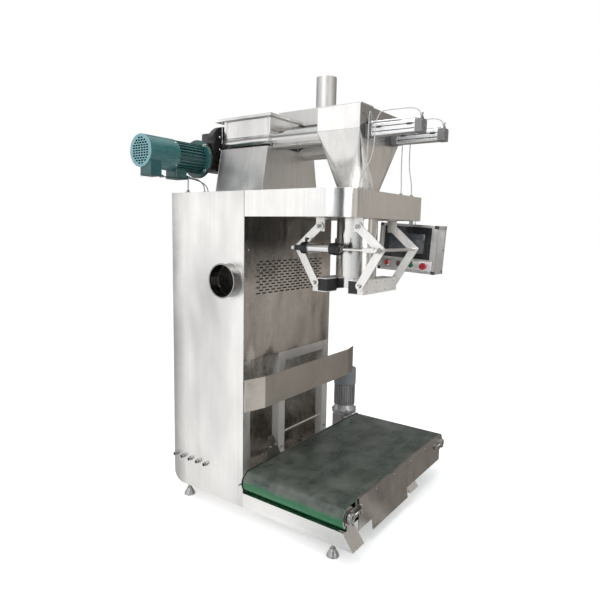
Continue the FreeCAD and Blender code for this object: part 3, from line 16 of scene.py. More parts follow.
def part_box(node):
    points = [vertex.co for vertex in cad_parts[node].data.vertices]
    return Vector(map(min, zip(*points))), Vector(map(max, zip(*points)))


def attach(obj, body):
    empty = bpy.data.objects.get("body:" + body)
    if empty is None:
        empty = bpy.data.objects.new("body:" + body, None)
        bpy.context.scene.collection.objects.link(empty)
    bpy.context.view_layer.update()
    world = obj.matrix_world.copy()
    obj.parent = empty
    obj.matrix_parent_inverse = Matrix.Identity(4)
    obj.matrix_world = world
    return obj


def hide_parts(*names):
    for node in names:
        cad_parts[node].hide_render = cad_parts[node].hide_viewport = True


bl_info = {
    "name": "Powder packaging machine looks",
    "version": (1, 0, 0),
    "blender": (4, 5, 0),
    "location": "View3D > Sidebar > Packer",
    "description": "Finishes, fastenings, welds, trim and leads of a powder packaging machine",
    "category": "Object",
}

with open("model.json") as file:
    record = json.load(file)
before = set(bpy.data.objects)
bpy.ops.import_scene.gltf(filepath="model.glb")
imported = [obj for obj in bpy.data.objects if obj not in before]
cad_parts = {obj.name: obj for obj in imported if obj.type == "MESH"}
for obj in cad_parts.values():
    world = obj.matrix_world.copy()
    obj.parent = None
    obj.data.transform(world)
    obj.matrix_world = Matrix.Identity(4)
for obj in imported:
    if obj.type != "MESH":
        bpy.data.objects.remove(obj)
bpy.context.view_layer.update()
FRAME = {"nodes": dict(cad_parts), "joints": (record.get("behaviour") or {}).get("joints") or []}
MM = 0.001


def pivot(joint):
    """The point that a joint turns about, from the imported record."""
    return Vector(next(item["pos_m"] for item in FRAME["joints"] if item["name"] == joint))


WALL_LEFT, CABINET_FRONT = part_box("cabinet_shell")[0].x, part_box("cabinet_shell")[0].y
WALL_RIGHT, CABINET_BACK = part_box("cabinet_shell")[1].x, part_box("cabinet_shell")[1].y
PLATFORM_UNDER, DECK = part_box("platform_skirt")[0].z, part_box("platform_skirt")[1].z
FINE, COARSE = pivot("fine_screw_turn"), pivot("coarse_screw_turn")
MOTOR_LEFT, MOTOR_RIGHT = pivot("fine_motor_turn"), pivot("coarse_motor_turn")
CLAMP_BACK = pivot("back_clamp_swing")
BARREL_PIN, ROD_PIN = pivot("clamp_barrel_pivot"), pivot("clamp_piston_pivot")
IDLER, DRIVE = pivot("belt_idler_turn"), pivot("belt_drive_turn")
NEAR_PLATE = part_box("conveyor_sides")[0].y + 8 * MM
POST_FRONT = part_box("conveyor_sides")[1].y
GLAND_NUT, DECK_NUT = 17 * MM, 25 * MM
HINGE_LEVELS = (300 * MM, 960 * MM, 1560 * MM)

# Routes in millimetres from gland or port to the deck, and the length that each line has
DECK_GLAND, MOTOR_GLAND, COWL_GLAND = 1863, 1931, 1918


def motor_leads(word, sign):
    """The three leads of one drive; the other drive's are their mirror image."""
    routes = (
        ("cowl", ((603, 861, COWL_GLAND), (420, 861, COWL_GLAND), (384, 905, COWL_GLAND),
                  (384, 905, DECK_GLAND)), 0.275),
        ("motor", ((393, 885, MOTOR_GLAND), (273, 885, MOTOR_GLAND), (273, 885, DECK_GLAND)), 0.170),
        ("brake", ((393, 925, MOTOR_GLAND), (206, 925, MOTOR_GLAND), (206, 925, DECK_GLAND)), 0.235),
    )
    return [(f"{word}_{part}_lead", [(sign * x, y, z) for x, y, z in points], length)
            for part, points, length in routes]


MOTOR_LEADS = (*motor_leads("fine", -1), *motor_leads("coarse", 1))
AIR_HOSES = (
    ("fine_back_hose", [(-140, -141, 2180), (-140, -141, 2224), (-192, -153, 2224),
                        (-192, -153, 1975), (-222, -150, 1915), (-222, -150, 1857)], 0.430),
    ("fine_front_hose", [(-140, -399, 2180), (-140, -399, 2224), (-148, -251, 2226), (-202, -197, 2210),
                         (-202, -191, 1995), (-257, -150, 1917), (-257, -150, 1857)], 0.600),
    ("coarse_back_hose", [(140, -141, 2180), (140, -141, 2224), (192, -153, 2224),
                          (192, -153, 1975), (207, -150, 1915), (207, -150, 1857)], 0.430),
    ("coarse_front_hose", [(140, -399, 2180), (140, -399, 2224), (148, -251, 2226), (202, -197, 2210),
                           (202, -191, 1995), (344, -150, 1917), (344, -150, 1857)], 0.650),
)


# Shader building

def shader(name):
    material = bpy.data.materials.new(name)
    material.use_nodes = True
    tree = material.node_tree
    return material, tree, tree.nodes["Principled BSDF"]


def node(tree, kind, **settings):
    item = tree.nodes.new(kind)
    for key, value in settings.items():
        setattr(item, key, value)
    return item


def fill(tree, socket, value):
    """Puts a constant or a link into a socket."""
    if isinstance(value, bpy.types.NodeSocket):
        tree.links.new(value, socket)
    else:
        socket.default_value = value


def coords(tree, scale=(1, 1, 1)):
    place = node(tree, "ShaderNodeTexCoord")
    scaled = node(tree, "ShaderNodeMapping")
    fill(tree, scaled.inputs["Vector"], place.outputs["Object"])
    scaled.inputs["Scale"].default_value = scale
    return scaled.outputs["Vector"]


def axis_of(tree, axis):
    """One of the piece's own X, Y or Z coordinates."""
    split = node(tree, "ShaderNodeSeparateXYZ")
    fill(tree, split.inputs[0], node(tree, "ShaderNodeTexCoord").outputs["Object"])
    return split.outputs[axis]


def noise(tree, vector, scale, detail=2.0, rough=0.5):
    item = node(tree, "ShaderNodeTexNoise")
    fill(tree, item.inputs["Vector"], vector)
    item.inputs["Scale"].default_value = scale
    item.inputs["Detail"].default_value = detail
    item.inputs["Roughness"].default_value = rough
    return item.outputs[0]


def remap(tree, value, low, high, start=0.0, end=1.0):
    """Carries start..end over to low..high, and holds at both ends."""
    item = node(tree, "ShaderNodeMapRange")
    fill(tree, item.inputs[0], value)
    for place, number in ((1, start), (2, end), (3, low), (4, high)):
        item.inputs[place].default_value = number
    return item.outputs[0]


def mix(tree, factor, first, second, blend="MIX"):
    item = node(tree, "ShaderNodeMix", data_type="RGBA", blend_type=blend)
    fill(tree, item.inputs[0], factor)
    fill(tree, item.inputs[6], first)
    fill(tree, item.inputs[7], second)
    return item.outputs[2]


def maths(tree, operation, first, second=0.0):
    item = node(tree, "ShaderNodeMath", operation=operation)
    fill(tree, item.inputs[0], first)
    fill(tree, item.inputs[1], second)
    return item.outputs[0]


def bump(tree, height, strength, distance, normal=None):
    item = node(tree, "ShaderNodeBump")
    fill(tree, item.inputs["Height"], height)
    item.inputs["Strength"].default_value = strength
    item.inputs["Distance"].default_value = distance
    if normal is not None:
        fill(tree, item.inputs["Normal"], normal)
    return item.outputs["Normal"]


def soft_edge(tree, radius):
    item = node(tree, "ShaderNodeBevel", samples=4)
    item.inputs["Radius"].default_value = radius
    return item.outputs["Normal"]


def edge_mask(tree, radius):
    """1 on edges within the radius, 0 on flats."""
    rounded = soft_edge(tree, radius)
    plain = node(tree, "ShaderNodeNewGeometry").outputs["Normal"]
    dot = node(tree, "ShaderNodeVectorMath", operation="DOT_PRODUCT")
    fill(tree, dot.inputs[0], rounded)
    fill(tree, dot.inputs[1], plain)
    return remap(tree, dot.outputs["Value"], 1.0, 0.0, 0.80, 0.995)


def zones(tree, axis, *spans):
    """1 between the ends of any of the spans along one axis, else 0."""
    place = axis_of(tree, axis)
    total = None
    for low, high in spans:
        inside = maths(tree, "MULTIPLY", maths(tree, "GREATER_THAN", place, low),
                       maths(tree, "LESS_THAN", place, high))
        total = inside if total is None else maths(tree, "MAXIMUM", total, inside)
    return total


def tinted(level, tint=(1.0, 1.0, 1.0)):
    return (level * tint[0], level * tint[1], level * tint[2], 1.0)


def brushed(name, tone=0.62, rough=0.30, grain="Z", cloud=0.16, wobble=0.5, tint=(1.0, 0.985, 0.96),
            edge=1.6 * MM, stain=0.0, dark_reflections=0.0, shade=(), metal=1.0, deep=0.030):
    """Brushed stainless: hair lines along the grain, cloudy patches, slight dents and bright worn edges.

    A strength setting darkens broad soft patches, which are painted reflections of dark surroundings; each
    entry of shade (axis, start, end, level) fades the tone to level from start to end along an axis, as
    painted shade and painted reflection."""
    material, tree, bsdf = shader(name)
    along = {"X": (1.2, 60, 60), "Y": (60, 1.2, 60), "Z": (60, 60, 1.2)}[grain]
    hair = {"X": (12, 520, 520), "Y": (520, 12, 520), "Z": (520, 520, 12)}[grain]
    streaks = noise(tree, coords(tree, along), 1.0, 3.0)
    hairs = noise(tree, coords(tree, hair), 1.0, 2.0)
    patches = noise(tree, coords(tree), 2.6, 4.0, 0.62)
    smears = noise(tree, coords(tree), 11.0, 3.0)
    dull = tinted(tone * (1 - cloud), tint)
    colour = mix(tree, remap(tree, patches, 0.0, 1.0, 0.32, 0.68), dull,
                 tinted(min(tone * (1 + cloud * 0.6), 0.95), tint))
    colour = mix(tree, remap(tree, streaks, 0.0, 0.5, 0.35, 0.75), colour, tinted(tone * 0.84, tint))
    if stain:
        marks = noise(tree, coords(tree, (1.0, 1.0, 0.6)), 5.0, 5.0, 0.7)
        colour = mix(tree, remap(tree, marks, 0.0, stain, 0.50, 0.72), colour,
                     tinted(tone * 0.52, (1.0, 0.86, 0.74)))
    # Painted reflections: broad soft dark patches, as though the sheet mirrors dark surroundings.
    if dark_reflections:
        haze = noise(tree, coords(tree, (1.0, 1.0, 0.45)), 1.9, 1.0, 0.5)
        colour = mix(tree, remap(tree, haze, 0.0, dark_reflections, 0.48, 0.74), colour,
                     tinted(tone * 0.42, (0.97, 0.98, 1.0)))
    # Painted shade and painted reflection: each entry fades the tone along an axis.
    for axis, start, end, level in shade:
        drift = axis_of(tree, axis)
        if abs(end - start) > 0.02:
            drift = maths(tree, "ADD", drift, remap(tree, patches, -0.03, 0.03, 0.3, 0.7))
        fade = remap(tree, drift, 0.0, 1.0, min(start, end), max(start, end))
        fade = fade if end > start else maths(tree, "SUBTRACT", 1.0, fade)
        colour = mix(tree, fade, colour, tinted(level), "MULTIPLY")
    worn = maths(tree, "MULTIPLY", edge_mask(tree, edge), 0.55)
    fill(tree, bsdf.inputs["Base Color"], mix(tree, worn, colour, tinted(0.92)))
    bsdf.inputs["Metallic"].default_value = metal
    spread = maths(tree, "ADD", remap(tree, patches, rough - 0.07, rough + 0.08, 0.3, 0.7),
                   remap(tree, smears, -0.04, 0.05, 0.3, 0.7))
    spread = maths(tree, "ADD", spread, remap(tree, hairs, -0.04, 0.05, 0.3, 0.7))
    fill(tree, bsdf.inputs["Roughness"], spread)
    dents = noise(tree, coords(tree, (1.0, 1.0, 0.55)), 3.4, 1.5, 0.4)
    normal = bump(tree, dents, wobble, deep, soft_edge(tree, edge))
    fill(tree, bsdf.inputs["Normal"], bump(tree, hairs, 0.20, 0.4 * MM, normal))
    return material


def painted(name, colour, rough=0.32, chips=0.35, chip_colour=(0.45, 0.45, 0.45, 1), grain=140.0,
            end_face=None, end_colour=None, dusty_level=1.25):
    """Sprayed paint with orange peel, faint dust and chipped edges. Past end_face along X it is lighter.

    dusty_level sets how pale the dust is."""
    material, tree, bsdf = shader(name)
    dust = noise(tree, coords(tree), 9.0, 4.0, 0.6)
    speck = noise(tree, coords(tree), 260.0, 2.0)
    dusty = tuple(min(c * 1.25 + 0.020 * dusty_level, 1.0) for c in colour[:3]) + (1.0,)
    base = mix(tree, remap(tree, dust, 0.0, 0.7, 0.35, 0.8), colour, dusty)
    if end_face:
        past = maths(tree, "GREATER_THAN", maths(tree, "ABSOLUTE", axis_of(tree, "X")), end_face)
        base = mix(tree, past, base, end_colour)
    mask = maths(tree, "MULTIPLY", edge_mask(tree, 1.6 * MM), remap(tree, speck, 0.0, 1.0, 0.52, 0.60))
    mask = maths(tree, "MULTIPLY", mask, chips)
    fill(tree, bsdf.inputs["Base Color"], mix(tree, mask, base, chip_colour))
    fill(tree, bsdf.inputs["Roughness"], remap(tree, dust, rough - 0.05, rough + 0.18, 0.3, 0.8))
    bsdf.inputs["Coat Weight"].default_value = 0.35
    bsdf.inputs["Coat Roughness"].default_value = 0.18
    peel = noise(tree, coords(tree), grain, 1.0)
    fill(tree, bsdf.inputs["Normal"], bump(tree, peel, 0.12, 0.6 * MM, soft_edge(tree, 1.6 * MM)))
    return material


def cast(name, colour, rough=0.5, metallic=0.0):
    """A cast surface: coarse grain and worn edges."""
    material, tree, bsdf = shader(name)
    grain = noise(tree, coords(tree), 420.0, 3.0)
    patches = noise(tree, coords(tree), 14.0, 3.0)
    lighter = tuple(min(c * 1.5 + 0.02, 1.0) for c in colour[:3]) + (1.0,)
    base = mix(tree, patches, colour, lighter)
    worn = maths(tree, "MULTIPLY", edge_mask(tree, 1.8 * MM), 0.4)
    fill(tree, bsdf.inputs["Base Color"], mix(tree, worn, base, (0.5, 0.5, 0.5, 1)))
    bsdf.inputs["Metallic"].default_value = metallic
    fill(tree, bsdf.inputs["Roughness"], remap(tree, patches, rough - 0.08, rough + 0.1, 0.3, 0.7))
    fill(tree, bsdf.inputs["Normal"], bump(tree, grain, 0.25, 0.6 * MM, soft_edge(tree, 1.6 * MM)))
    return material


def moulded(name, colour, rough=0.35, grain=300.0, strength=0.08, coat=0.0):
    """Moulded plastic or rubber with a fine grain and faint handling marks."""
    material, tree, bsdf = shader(name)
    marks = noise(tree, coords(tree), 18.0, 4.0, 0.6)
    lighter = tuple(min(c * 1.3 + 0.012, 1.0) for c in colour[:3]) + (1.0,)
    fill(tree, bsdf.inputs["Base Color"], mix(tree, remap(tree, marks, 0.0, 0.8, 0.4, 0.75), colour, lighter))
    fill(tree, bsdf.inputs["Roughness"], remap(tree, marks, rough - 0.05, rough + 0.12, 0.3, 0.7))
    bsdf.inputs["Coat Weight"].default_value = coat
    fine = noise(tree, coords(tree), grain, 2.0)
    fill(tree, bsdf.inputs["Normal"], bump(tree, fine, strength, 0.5 * MM, soft_edge(tree, 1.0 * MM)))
    return material


def capped_profile(name, spans, body_tone, cap_tone, axis="Y", rough=0.34):
    """Anodised cylinder profile with darker cast caps over the spans along one axis."""
    material, tree, bsdf = shader(name)
    cap = zones(tree, axis, *spans)
    drawn = noise(tree, coords(tree, (700, 9, 700)), 1.0, 2.0)
    grain = noise(tree, coords(tree), 380.0, 3.0)
    body = mix(tree, remap(tree, drawn, 0.0, 1.0, 0.35, 0.65), tinted(body_tone * 0.9), tinted(body_tone))
    rind = mix(tree, remap(tree, grain, 0.0, 1.0, 0.3, 0.7), tinted(cap_tone), tinted(cap_tone * 1.7))
    colour = mix(tree, cap, body, rind)
    colour = mix(tree, maths(tree, "MULTIPLY", edge_mask(tree, 1.2 * MM), 0.5), colour, tinted(0.8))
    fill(tree, bsdf.inputs["Base Color"], colour)
    fill(tree, bsdf.inputs["Metallic"], remap(tree, cap, 1.0, 0.35))
    fill(tree, bsdf.inputs["Roughness"], maths(tree, "ADD", remap(tree, cap, rough, 0.42),
                                               remap(tree, grain, -0.05, 0.06, 0.3, 0.7)))
    relief = mix(tree, cap, drawn, grain)
    fill(tree, bsdf.inputs["Normal"], bump(tree, relief, 0.14, 0.4 * MM, soft_edge(tree, 1.2 * MM)))
    return material


def belt_rubber(name):
    """Belt cover: near-black green with dust and drag marks, and bright green below its end curve, clean
    there and brighter as painted light from the floor.
    """
    material, tree, bsdf = shader(name)
    drag = noise(tree, coords(tree, (2.2, 16, 16)), 1.0, 4.0, 0.6)
    dust = noise(tree, coords(tree), 4.5, 5.0, 0.65)
    blotch = noise(tree, coords(tree), 9.0, 3.0, 0.55)
    top = mix(tree, remap(tree, blotch, 0.0, 1.0, 0.35, 0.65), (0.044, 0.056, 0.046, 1),
              (0.084, 0.098, 0.084, 1))
    top = mix(tree, remap(tree, drag, 0.0, 0.45, 0.5, 0.8), top, (0.150, 0.162, 0.142, 1))
    top = mix(tree, remap(tree, dust, 0.0, 0.55, 0.50, 0.72), top, (0.160, 0.168, 0.148, 1))
    green = mix(tree, dust, (0.005, 0.110, 0.038, 1), (0.010, 0.165, 0.058, 1))
    level = axis_of(tree, "Z")
    # Partly painted light: the green below the end curve is brighter where the floor lights it, and clean of
    # dust there.
    clean_and_floor_lit = remap(tree, maths(tree, "ADD", level, remap(tree, dust, -0.010, 0.010)), 1.0, 0.0, 0.238, 0.266)
    middle = (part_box("conveyor_belt")[0].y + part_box("conveyor_belt")[1].y) / 2
    half = (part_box("conveyor_belt")[1].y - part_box("conveyor_belt")[0].y) / 2
    rim = maths(tree, "ABSOLUTE", maths(tree, "SUBTRACT", axis_of(tree, "Y"), middle))
    rim = remap(tree, rim, 0.0, 0.6, half - 3.0 * MM, half - 0.5 * MM)
    fill(tree, bsdf.inputs["Base Color"], mix(tree, maths(tree, "MAXIMUM", clean_and_floor_lit, rim), top, green))
    fill(tree, bsdf.inputs["Roughness"], remap(tree, dust, 0.22, 0.42, 0.3, 0.75))
    weave = noise(tree, coords(tree, (900, 900, 900)), 1.0, 1.0)
    fill(tree, bsdf.inputs["Normal"], bump(tree, weave, 0.10, 0.5 * MM, bump(tree, dust, 0.15, 4.0 * MM)))
    return material


def display_glass(name):
    """The lit touch display under glass: a dim blue-grey, lighter downwards, with finger smears."""
    material, tree, bsdf = shader(name)
    smear = noise(tree, coords(tree, (30, 18, 40)), 1.0, 3.0)
    low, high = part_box("panel_screen")[0].z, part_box("panel_screen")[1].z
    rise = remap(tree, axis_of(tree, "Z"), 0.0, 1.0, low, high)
    colour = mix(tree, rise, (0.075, 0.083, 0.092, 1), (0.034, 0.039, 0.045, 1))
    colour = mix(tree, remap(tree, smear, 0.0, 0.35, 0.5, 0.8), colour, (0.15, 0.16, 0.17, 1))
    fill(tree, bsdf.inputs["Base Color"], colour)
    fill(tree, bsdf.inputs["Emission Color"], colour)
    bsdf.inputs["Emission Strength"].default_value = 0.25
    fill(tree, bsdf.inputs["Roughness"], remap(tree, smear, 0.08, 0.25, 0.4, 0.7))
    bsdf.inputs["Coat Weight"].default_value = 0.5
    return material


def hose_plastic(name):
    """Milky air hose."""
    material, tree, bsdf = shader(name)
    haze = noise(tree, coords(tree), 60.0, 3.0)
    fill(tree, bsdf.inputs["Base Color"], mix(tree, haze, (0.34, 0.35, 0.35, 1), (0.52, 0.53, 0.52, 1)))
    fill(tree, bsdf.inputs["Roughness"], remap(tree, haze, 0.22, 0.36, 0.3, 0.7))
    bsdf.inputs["Coat Weight"].default_value = 0.3
    fill(tree, bsdf.inputs["Normal"], bump(tree, haze, 0.1, 0.3 * MM))
    return material


ROOM = (
    # Compass angle of the ray in degrees, level and tint: bright cards and dark flags round the machine
    (-180, 0.95, (0.97, 0.99, 1.0)), (-160, 0.85, (0.95, 0.98, 1.0)), (-147, 0.55, (0.90, 0.96, 1.0)),
    (-134, 0.13, (0.90, 0.96, 1.0)), (-120, 0.10, (1.0, 0.95, 0.90)), (-113, 1.30, (1.0, 0.99, 0.97)),
    (-98, 1.20, (1.0, 0.98, 0.95)), (-84, 0.26, (1.0, 0.94, 0.88)), (-66, 0.95, (1.0, 0.95, 0.89)),
    (-52, 0.22, (1.0, 0.93, 0.86)), (-41, 0.58, (1.0, 0.94, 0.87)), (-33, 0.40, (1.0, 0.92, 0.84)),
    (-24, 0.50, (1.0, 0.93, 0.86)), (-10, 0.24, (1.0, 0.90, 0.82)), (22, 0.30, (1.0, 0.93, 0.87)),
    (50, 0.22, (1.0, 0.94, 0.90)), (84, 0.34, (1.0, 0.96, 0.92)), (108, 0.80, (1.0, 0.99, 0.98)),
    (124, 1.05, (1.0, 1.0, 1.0)), (142, 1.34, (1.0, 1.0, 1.0)), (158, 1.27, (0.98, 0.99, 1.0)),
    (180, 0.95, (0.97, 0.99, 1.0)),
)


def room_colour(tree, vector):
    """Colour of the room's cards by the compass angle of a vector."""
    split = node(tree, "ShaderNodeSeparateXYZ")
    fill(tree, split.inputs[0], vector)
    angle = maths(tree, "ARCTAN2", split.outputs["Y"], split.outputs["X"])
    ring = node(tree, "ShaderNodeValToRGB")
    fill(tree, ring.inputs[0], remap(tree, angle, 0.0, 1.0, -math.pi, math.pi))
    stops = ring.color_ramp.elements
    while len(stops) < len(ROOM):
        stops.new(0.5)
    for stop, (degrees, level, tint) in zip(stops, ROOM):
        stop.position = (degrees + 180) / 360
    for stop, (degrees, level, tint) in zip(stops, ROOM):
        stop.color = tinted(level, tint)
    return ring.outputs[0]


def floor_shader(name):
    """Pale floor that is white to the camera where nothing shades it, and shows the room's cards in metal."""
    material, tree, bsdf = shader(name)
    fleck = noise(tree, coords(tree), 30.0, 3.0)
    fill(tree, bsdf.inputs["Base Color"], mix(tree, fleck, (0.86, 0.86, 0.86, 1), (0.90, 0.90, 0.90, 1)))
    fill(tree, bsdf.inputs["Roughness"], remap(tree, fleck, 0.65, 0.75))
    rays = node(tree, "ShaderNodeLightPath")
    glow = node(tree, "ShaderNodeEmission")
    glow.inputs["Color"].default_value = (1, 1, 1, 1)
    fill(tree, glow.inputs["Strength"], maths(tree, "MULTIPLY", rays.outputs["Is Camera Ray"], 0.42))
    lit = node(tree, "ShaderNodeAddShader")
    fill(tree, lit.inputs[0], bsdf.outputs[0])
    fill(tree, lit.inputs[1], glow.outputs[0])
    cards = node(tree, "ShaderNodeEmission")
    fill(tree, cards.inputs["Color"], room_colour(tree, node(tree, "ShaderNodeTexCoord").outputs["Object"]))
    cards.inputs["Strength"].default_value = 0.80
    blend = node(tree, "ShaderNodeMixShader")
    fill(tree, blend.inputs[0], rays.outputs["Is Glossy Ray"])
    fill(tree, blend.inputs[1], lit.outputs[0])
    fill(tree, blend.inputs[2], cards.outputs[0])
    fill(tree, tree.nodes["Material Output"].inputs["Surface"], blend.outputs[0])
    return material


# Painted reflection: a warm brown tint on the front-facing sheets, as though they mirror the brown room in
# front of them.
BROWN_ROOM_REFLECTION = (1.0, 0.955, 0.90)
SHADERS = {}


def finish_of(name):
    """The finish with this name, made on first use."""
    looks = bpy.context.scene.packer_looks
    teal, pale = (*looks.motor_paint, 1.0), (*looks.cowl_end, 1.0)
    tone = looks.sheet_tone
    cowl_end = abs(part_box("screw_motor_cowls")[0].x) - 2.5 * MM
    gate, chute_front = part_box("gate_cylinders"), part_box("discharge_chute")[0].y
    # Painted light: the stainless finishes are lighter and darker copies of one sheet, each tone set for how
    # brightly its part is lit and what it reflects.
    makers = {
        # Painted reflection: the wall darkens towards its back edge; its broad dark patches are painted
        # reflections too.
        "sheet_wall": lambda own: brushed(
            own, tone * 1.52, 0.33, "Z", cloud=0.10, wobble=1.0, dark_reflections=0.90, deep=0.05,
            shade=(("Y", CABINET_BACK - 0.10, CABINET_BACK - 0.01, 0.55),)),
        # Painted shadow: darker towards the top, under the platform; painted shade darkens it downwards from
        # 1.0 m to 0.7 m.
        "sheet_panel": lambda own: brushed(
            own, tone * 1.12, 0.24, "Z", 0.25, 1.0, BROWN_ROOM_REFLECTION, stain=0.55, deep=0.09,
            shade=(("Z", 1.40, 1.60, 0.25), ("Z", 1.00, 0.70, 0.62))),
        "sheet_inner": lambda own: brushed(
            own, tone * 1.08, 0.26, "Z", 0.25, 1.0, BROWN_ROOM_REFLECTION, stain=0.7, deep=0.08),
        "sheet_skirt": lambda own: brushed(
            own, tone * 1.36, 0.20, "Z", cloud=0.12, wobble=0.35, dark_reflections=0.25),
        # Painted reflection: the guard is darkened along +X past the wall's left side, leaving its flared end
        # brighter.
        "sheet_guard": lambda own: brushed(
            own, tone * 1.50, 0.32, "X", 0.18, 0.5, BROWN_ROOM_REFLECTION, stain=0.30,
            shade=(("X", WALL_LEFT - 4 * MM, WALL_LEFT + 2 * MM, 0.62),)),
        "sheet_side": lambda own: brushed(own, tone * 0.66, 0.32, "X", 0.18, 0.4, BROWN_ROOM_REFLECTION, stain=0.5),
        # Painted reflection: the chute's front face is darkened; the broad dark patches are painted
        # reflections too.
        "sheet_hopper": lambda own: brushed(
            own, tone * 1.36, 0.20, "Z", cloud=0.14, wobble=1.0, dark_reflections=0.55, deep=0.05,
            shade=(("Y", chute_front + 3 * MM, chute_front + 1 * MM, 0.55),)),
        "sheet_stand": lambda own: brushed(
            own, tone * 1.15, 0.36, "Z", cloud=0.16, wobble=0.8, dark_reflections=0.55),
        "sheet_vent": lambda own: brushed(own, tone * 1.05, 0.52, "Z", cloud=0.10, wobble=0.1),
        "jaw_satin": lambda own: brushed(
            own, tone * 1.30, 0.40, "X", 0.12, 0.2, (1.0, 0.985, 0.955), metal=0.45),
        "post_satin": lambda own: brushed(
            own, tone * 1.05, 0.42, "Z", 0.12, 0.2, (1.0, 0.975, 0.94), metal=0.40),
        "sheet_base": lambda own: brushed(own, tone * 1.42, 0.30, "Y", cloud=0.12, wobble=0.4),
        "tube_polished": lambda own: brushed(
            own, tone * 0.95, 0.12, "Y", cloud=0.1, wobble=0.10, dark_reflections=0.3),
        "spout_polished": lambda own: brushed(own, tone * 1.25, 0.13, "Z", cloud=0.1, wobble=0.12),
        "bar_satin": lambda own: brushed(
            own, tone * 1.40, 0.36, "Z", cloud=0.1, wobble=0.05, edge=0.8 * MM),
        "machined": lambda own: brushed(own, 0.42, 0.28, "Y", cloud=0.15, wobble=0.02, edge=0.8 * MM),
        "fitting_steel": lambda own: brushed(own, 0.34, 0.26, "X", 0.15, 0.02, edge=0.8 * MM),
        "fastening": lambda own: brushed(own, 0.52, 0.24, "Z", cloud=0.15, wobble=0.0, edge=0.5 * MM),
        "weld": lambda own: brushed(own, 0.50, 0.36, "Z", 0.3, 0.0, (1.0, 0.97, 0.93), 0.4 * MM, stain=0.5),
        "chromed": lambda own: brushed(own, 0.80, 0.09, "Y", cloud=0.04, wobble=0.0, edge=0.6 * MM),
        "anodised": lambda own: brushed(own, 0.88, 0.38, "Z", 0.06, 0.0, (1, 1, 1), edge=0.8 * MM),
        "gate_profile": lambda own: capped_profile(
            own, ((gate[0].y - 1, gate[0].y + 34 * MM), (gate[1].y - 34 * MM, gate[1].y + 1)), 0.72, 0.13),
        "clamp_profile": lambda own: capped_profile(
            own, ((-43.5 * MM, 17 * MM), (151 * MM, 1.0)), 0.74, 0.020, rough=0.16),
        # Painted shade: this copy of the teal is darker than the cowls' (0.62 against 0.88), for the ribbed
        # frames in shade.
        "motor_paint": lambda own: painted(own, tuple(c * 0.62 for c in teal[:3]) + (1,), 0.28),
        "cowl_paint": lambda own: painted(
            own, tuple(c * 0.88 + 0.004 for c in teal[:3]) + (1,), 0.26,
            end_face=cowl_end, end_colour=pale, dusty_level=2.2),
        "gear_black": lambda own: painted(own, (0.010, 0.010, 0.011, 1), 0.26, chips=0.6),
        "motor_grey": lambda own: painted(own, (0.20, 0.215, 0.23, 1), 0.32),
        "cast_alloy": lambda own: cast(own, (0.42, 0.42, 0.43, 1), 0.40, 0.85),
        "foot_cast": lambda own: cast(own, (0.34, 0.335, 0.33, 1), 0.36, 0.9),
        "rubber": lambda own: moulded(own, (0.012, 0.012, 0.013, 1), 0.50, 220.0, 0.2),
        "bezel_black": lambda own: moulded(own, (0.010, 0.011, 0.014, 1), 0.22, coat=0.3),
        "trim_dark": lambda own: moulded(own, (0.030, 0.030, 0.032, 1), 0.36),
        "fitting_black": lambda own: moulded(own, (0.014, 0.014, 0.015, 1), 0.30, coat=0.2),
        "button_red": lambda own: moulded(own, (0.46, 0.012, 0.022, 1), 0.22, coat=0.4),
        "button_dark": lambda own: moulded(own, (0.100, 0.022, 0.040, 1), 0.24, coat=0.4),
        "button_green": lambda own: moulded(own, (0.012, 0.160, 0.060, 1), 0.24, coat=0.4),
        "cable": lambda own: moulded(own, (0.010, 0.010, 0.011, 1), 0.40),
        "hose_milky": hose_plastic,
        "belt_cover": belt_rubber,
        "display_glass": display_glass,
        "floor_pale": floor_shader,
    }
    if name not in SHADERS:
        SHADERS[name] = makers[name](name)
    return SHADERS[name]


def dress(finish, *names):
    """Gives CAD nodes their finish."""
    for name in names:
        item = FRAME["nodes"][name]
        item.data.materials.clear()
        item.data.materials.append(finish_of(finish))


# Mesh building

def aim(point, axis):
    """A matrix that puts local Z along an axis at a point."""
    turn = Vector(axis).normalized().to_track_quat("Z", "Y").to_matrix().to_4x4()
    return Matrix.Translation(point) @ turn


def ring_of(centre, axis, radius, count, start=0.0):
    """Points evenly spread on a circle about an axis."""
    place = aim(centre, axis)
    angles = [math.radians(start) + math.tau * n / count for n in range(count)]
    return [place @ Vector((radius * math.cos(a), radius * math.sin(a), 0)) for a in angles]


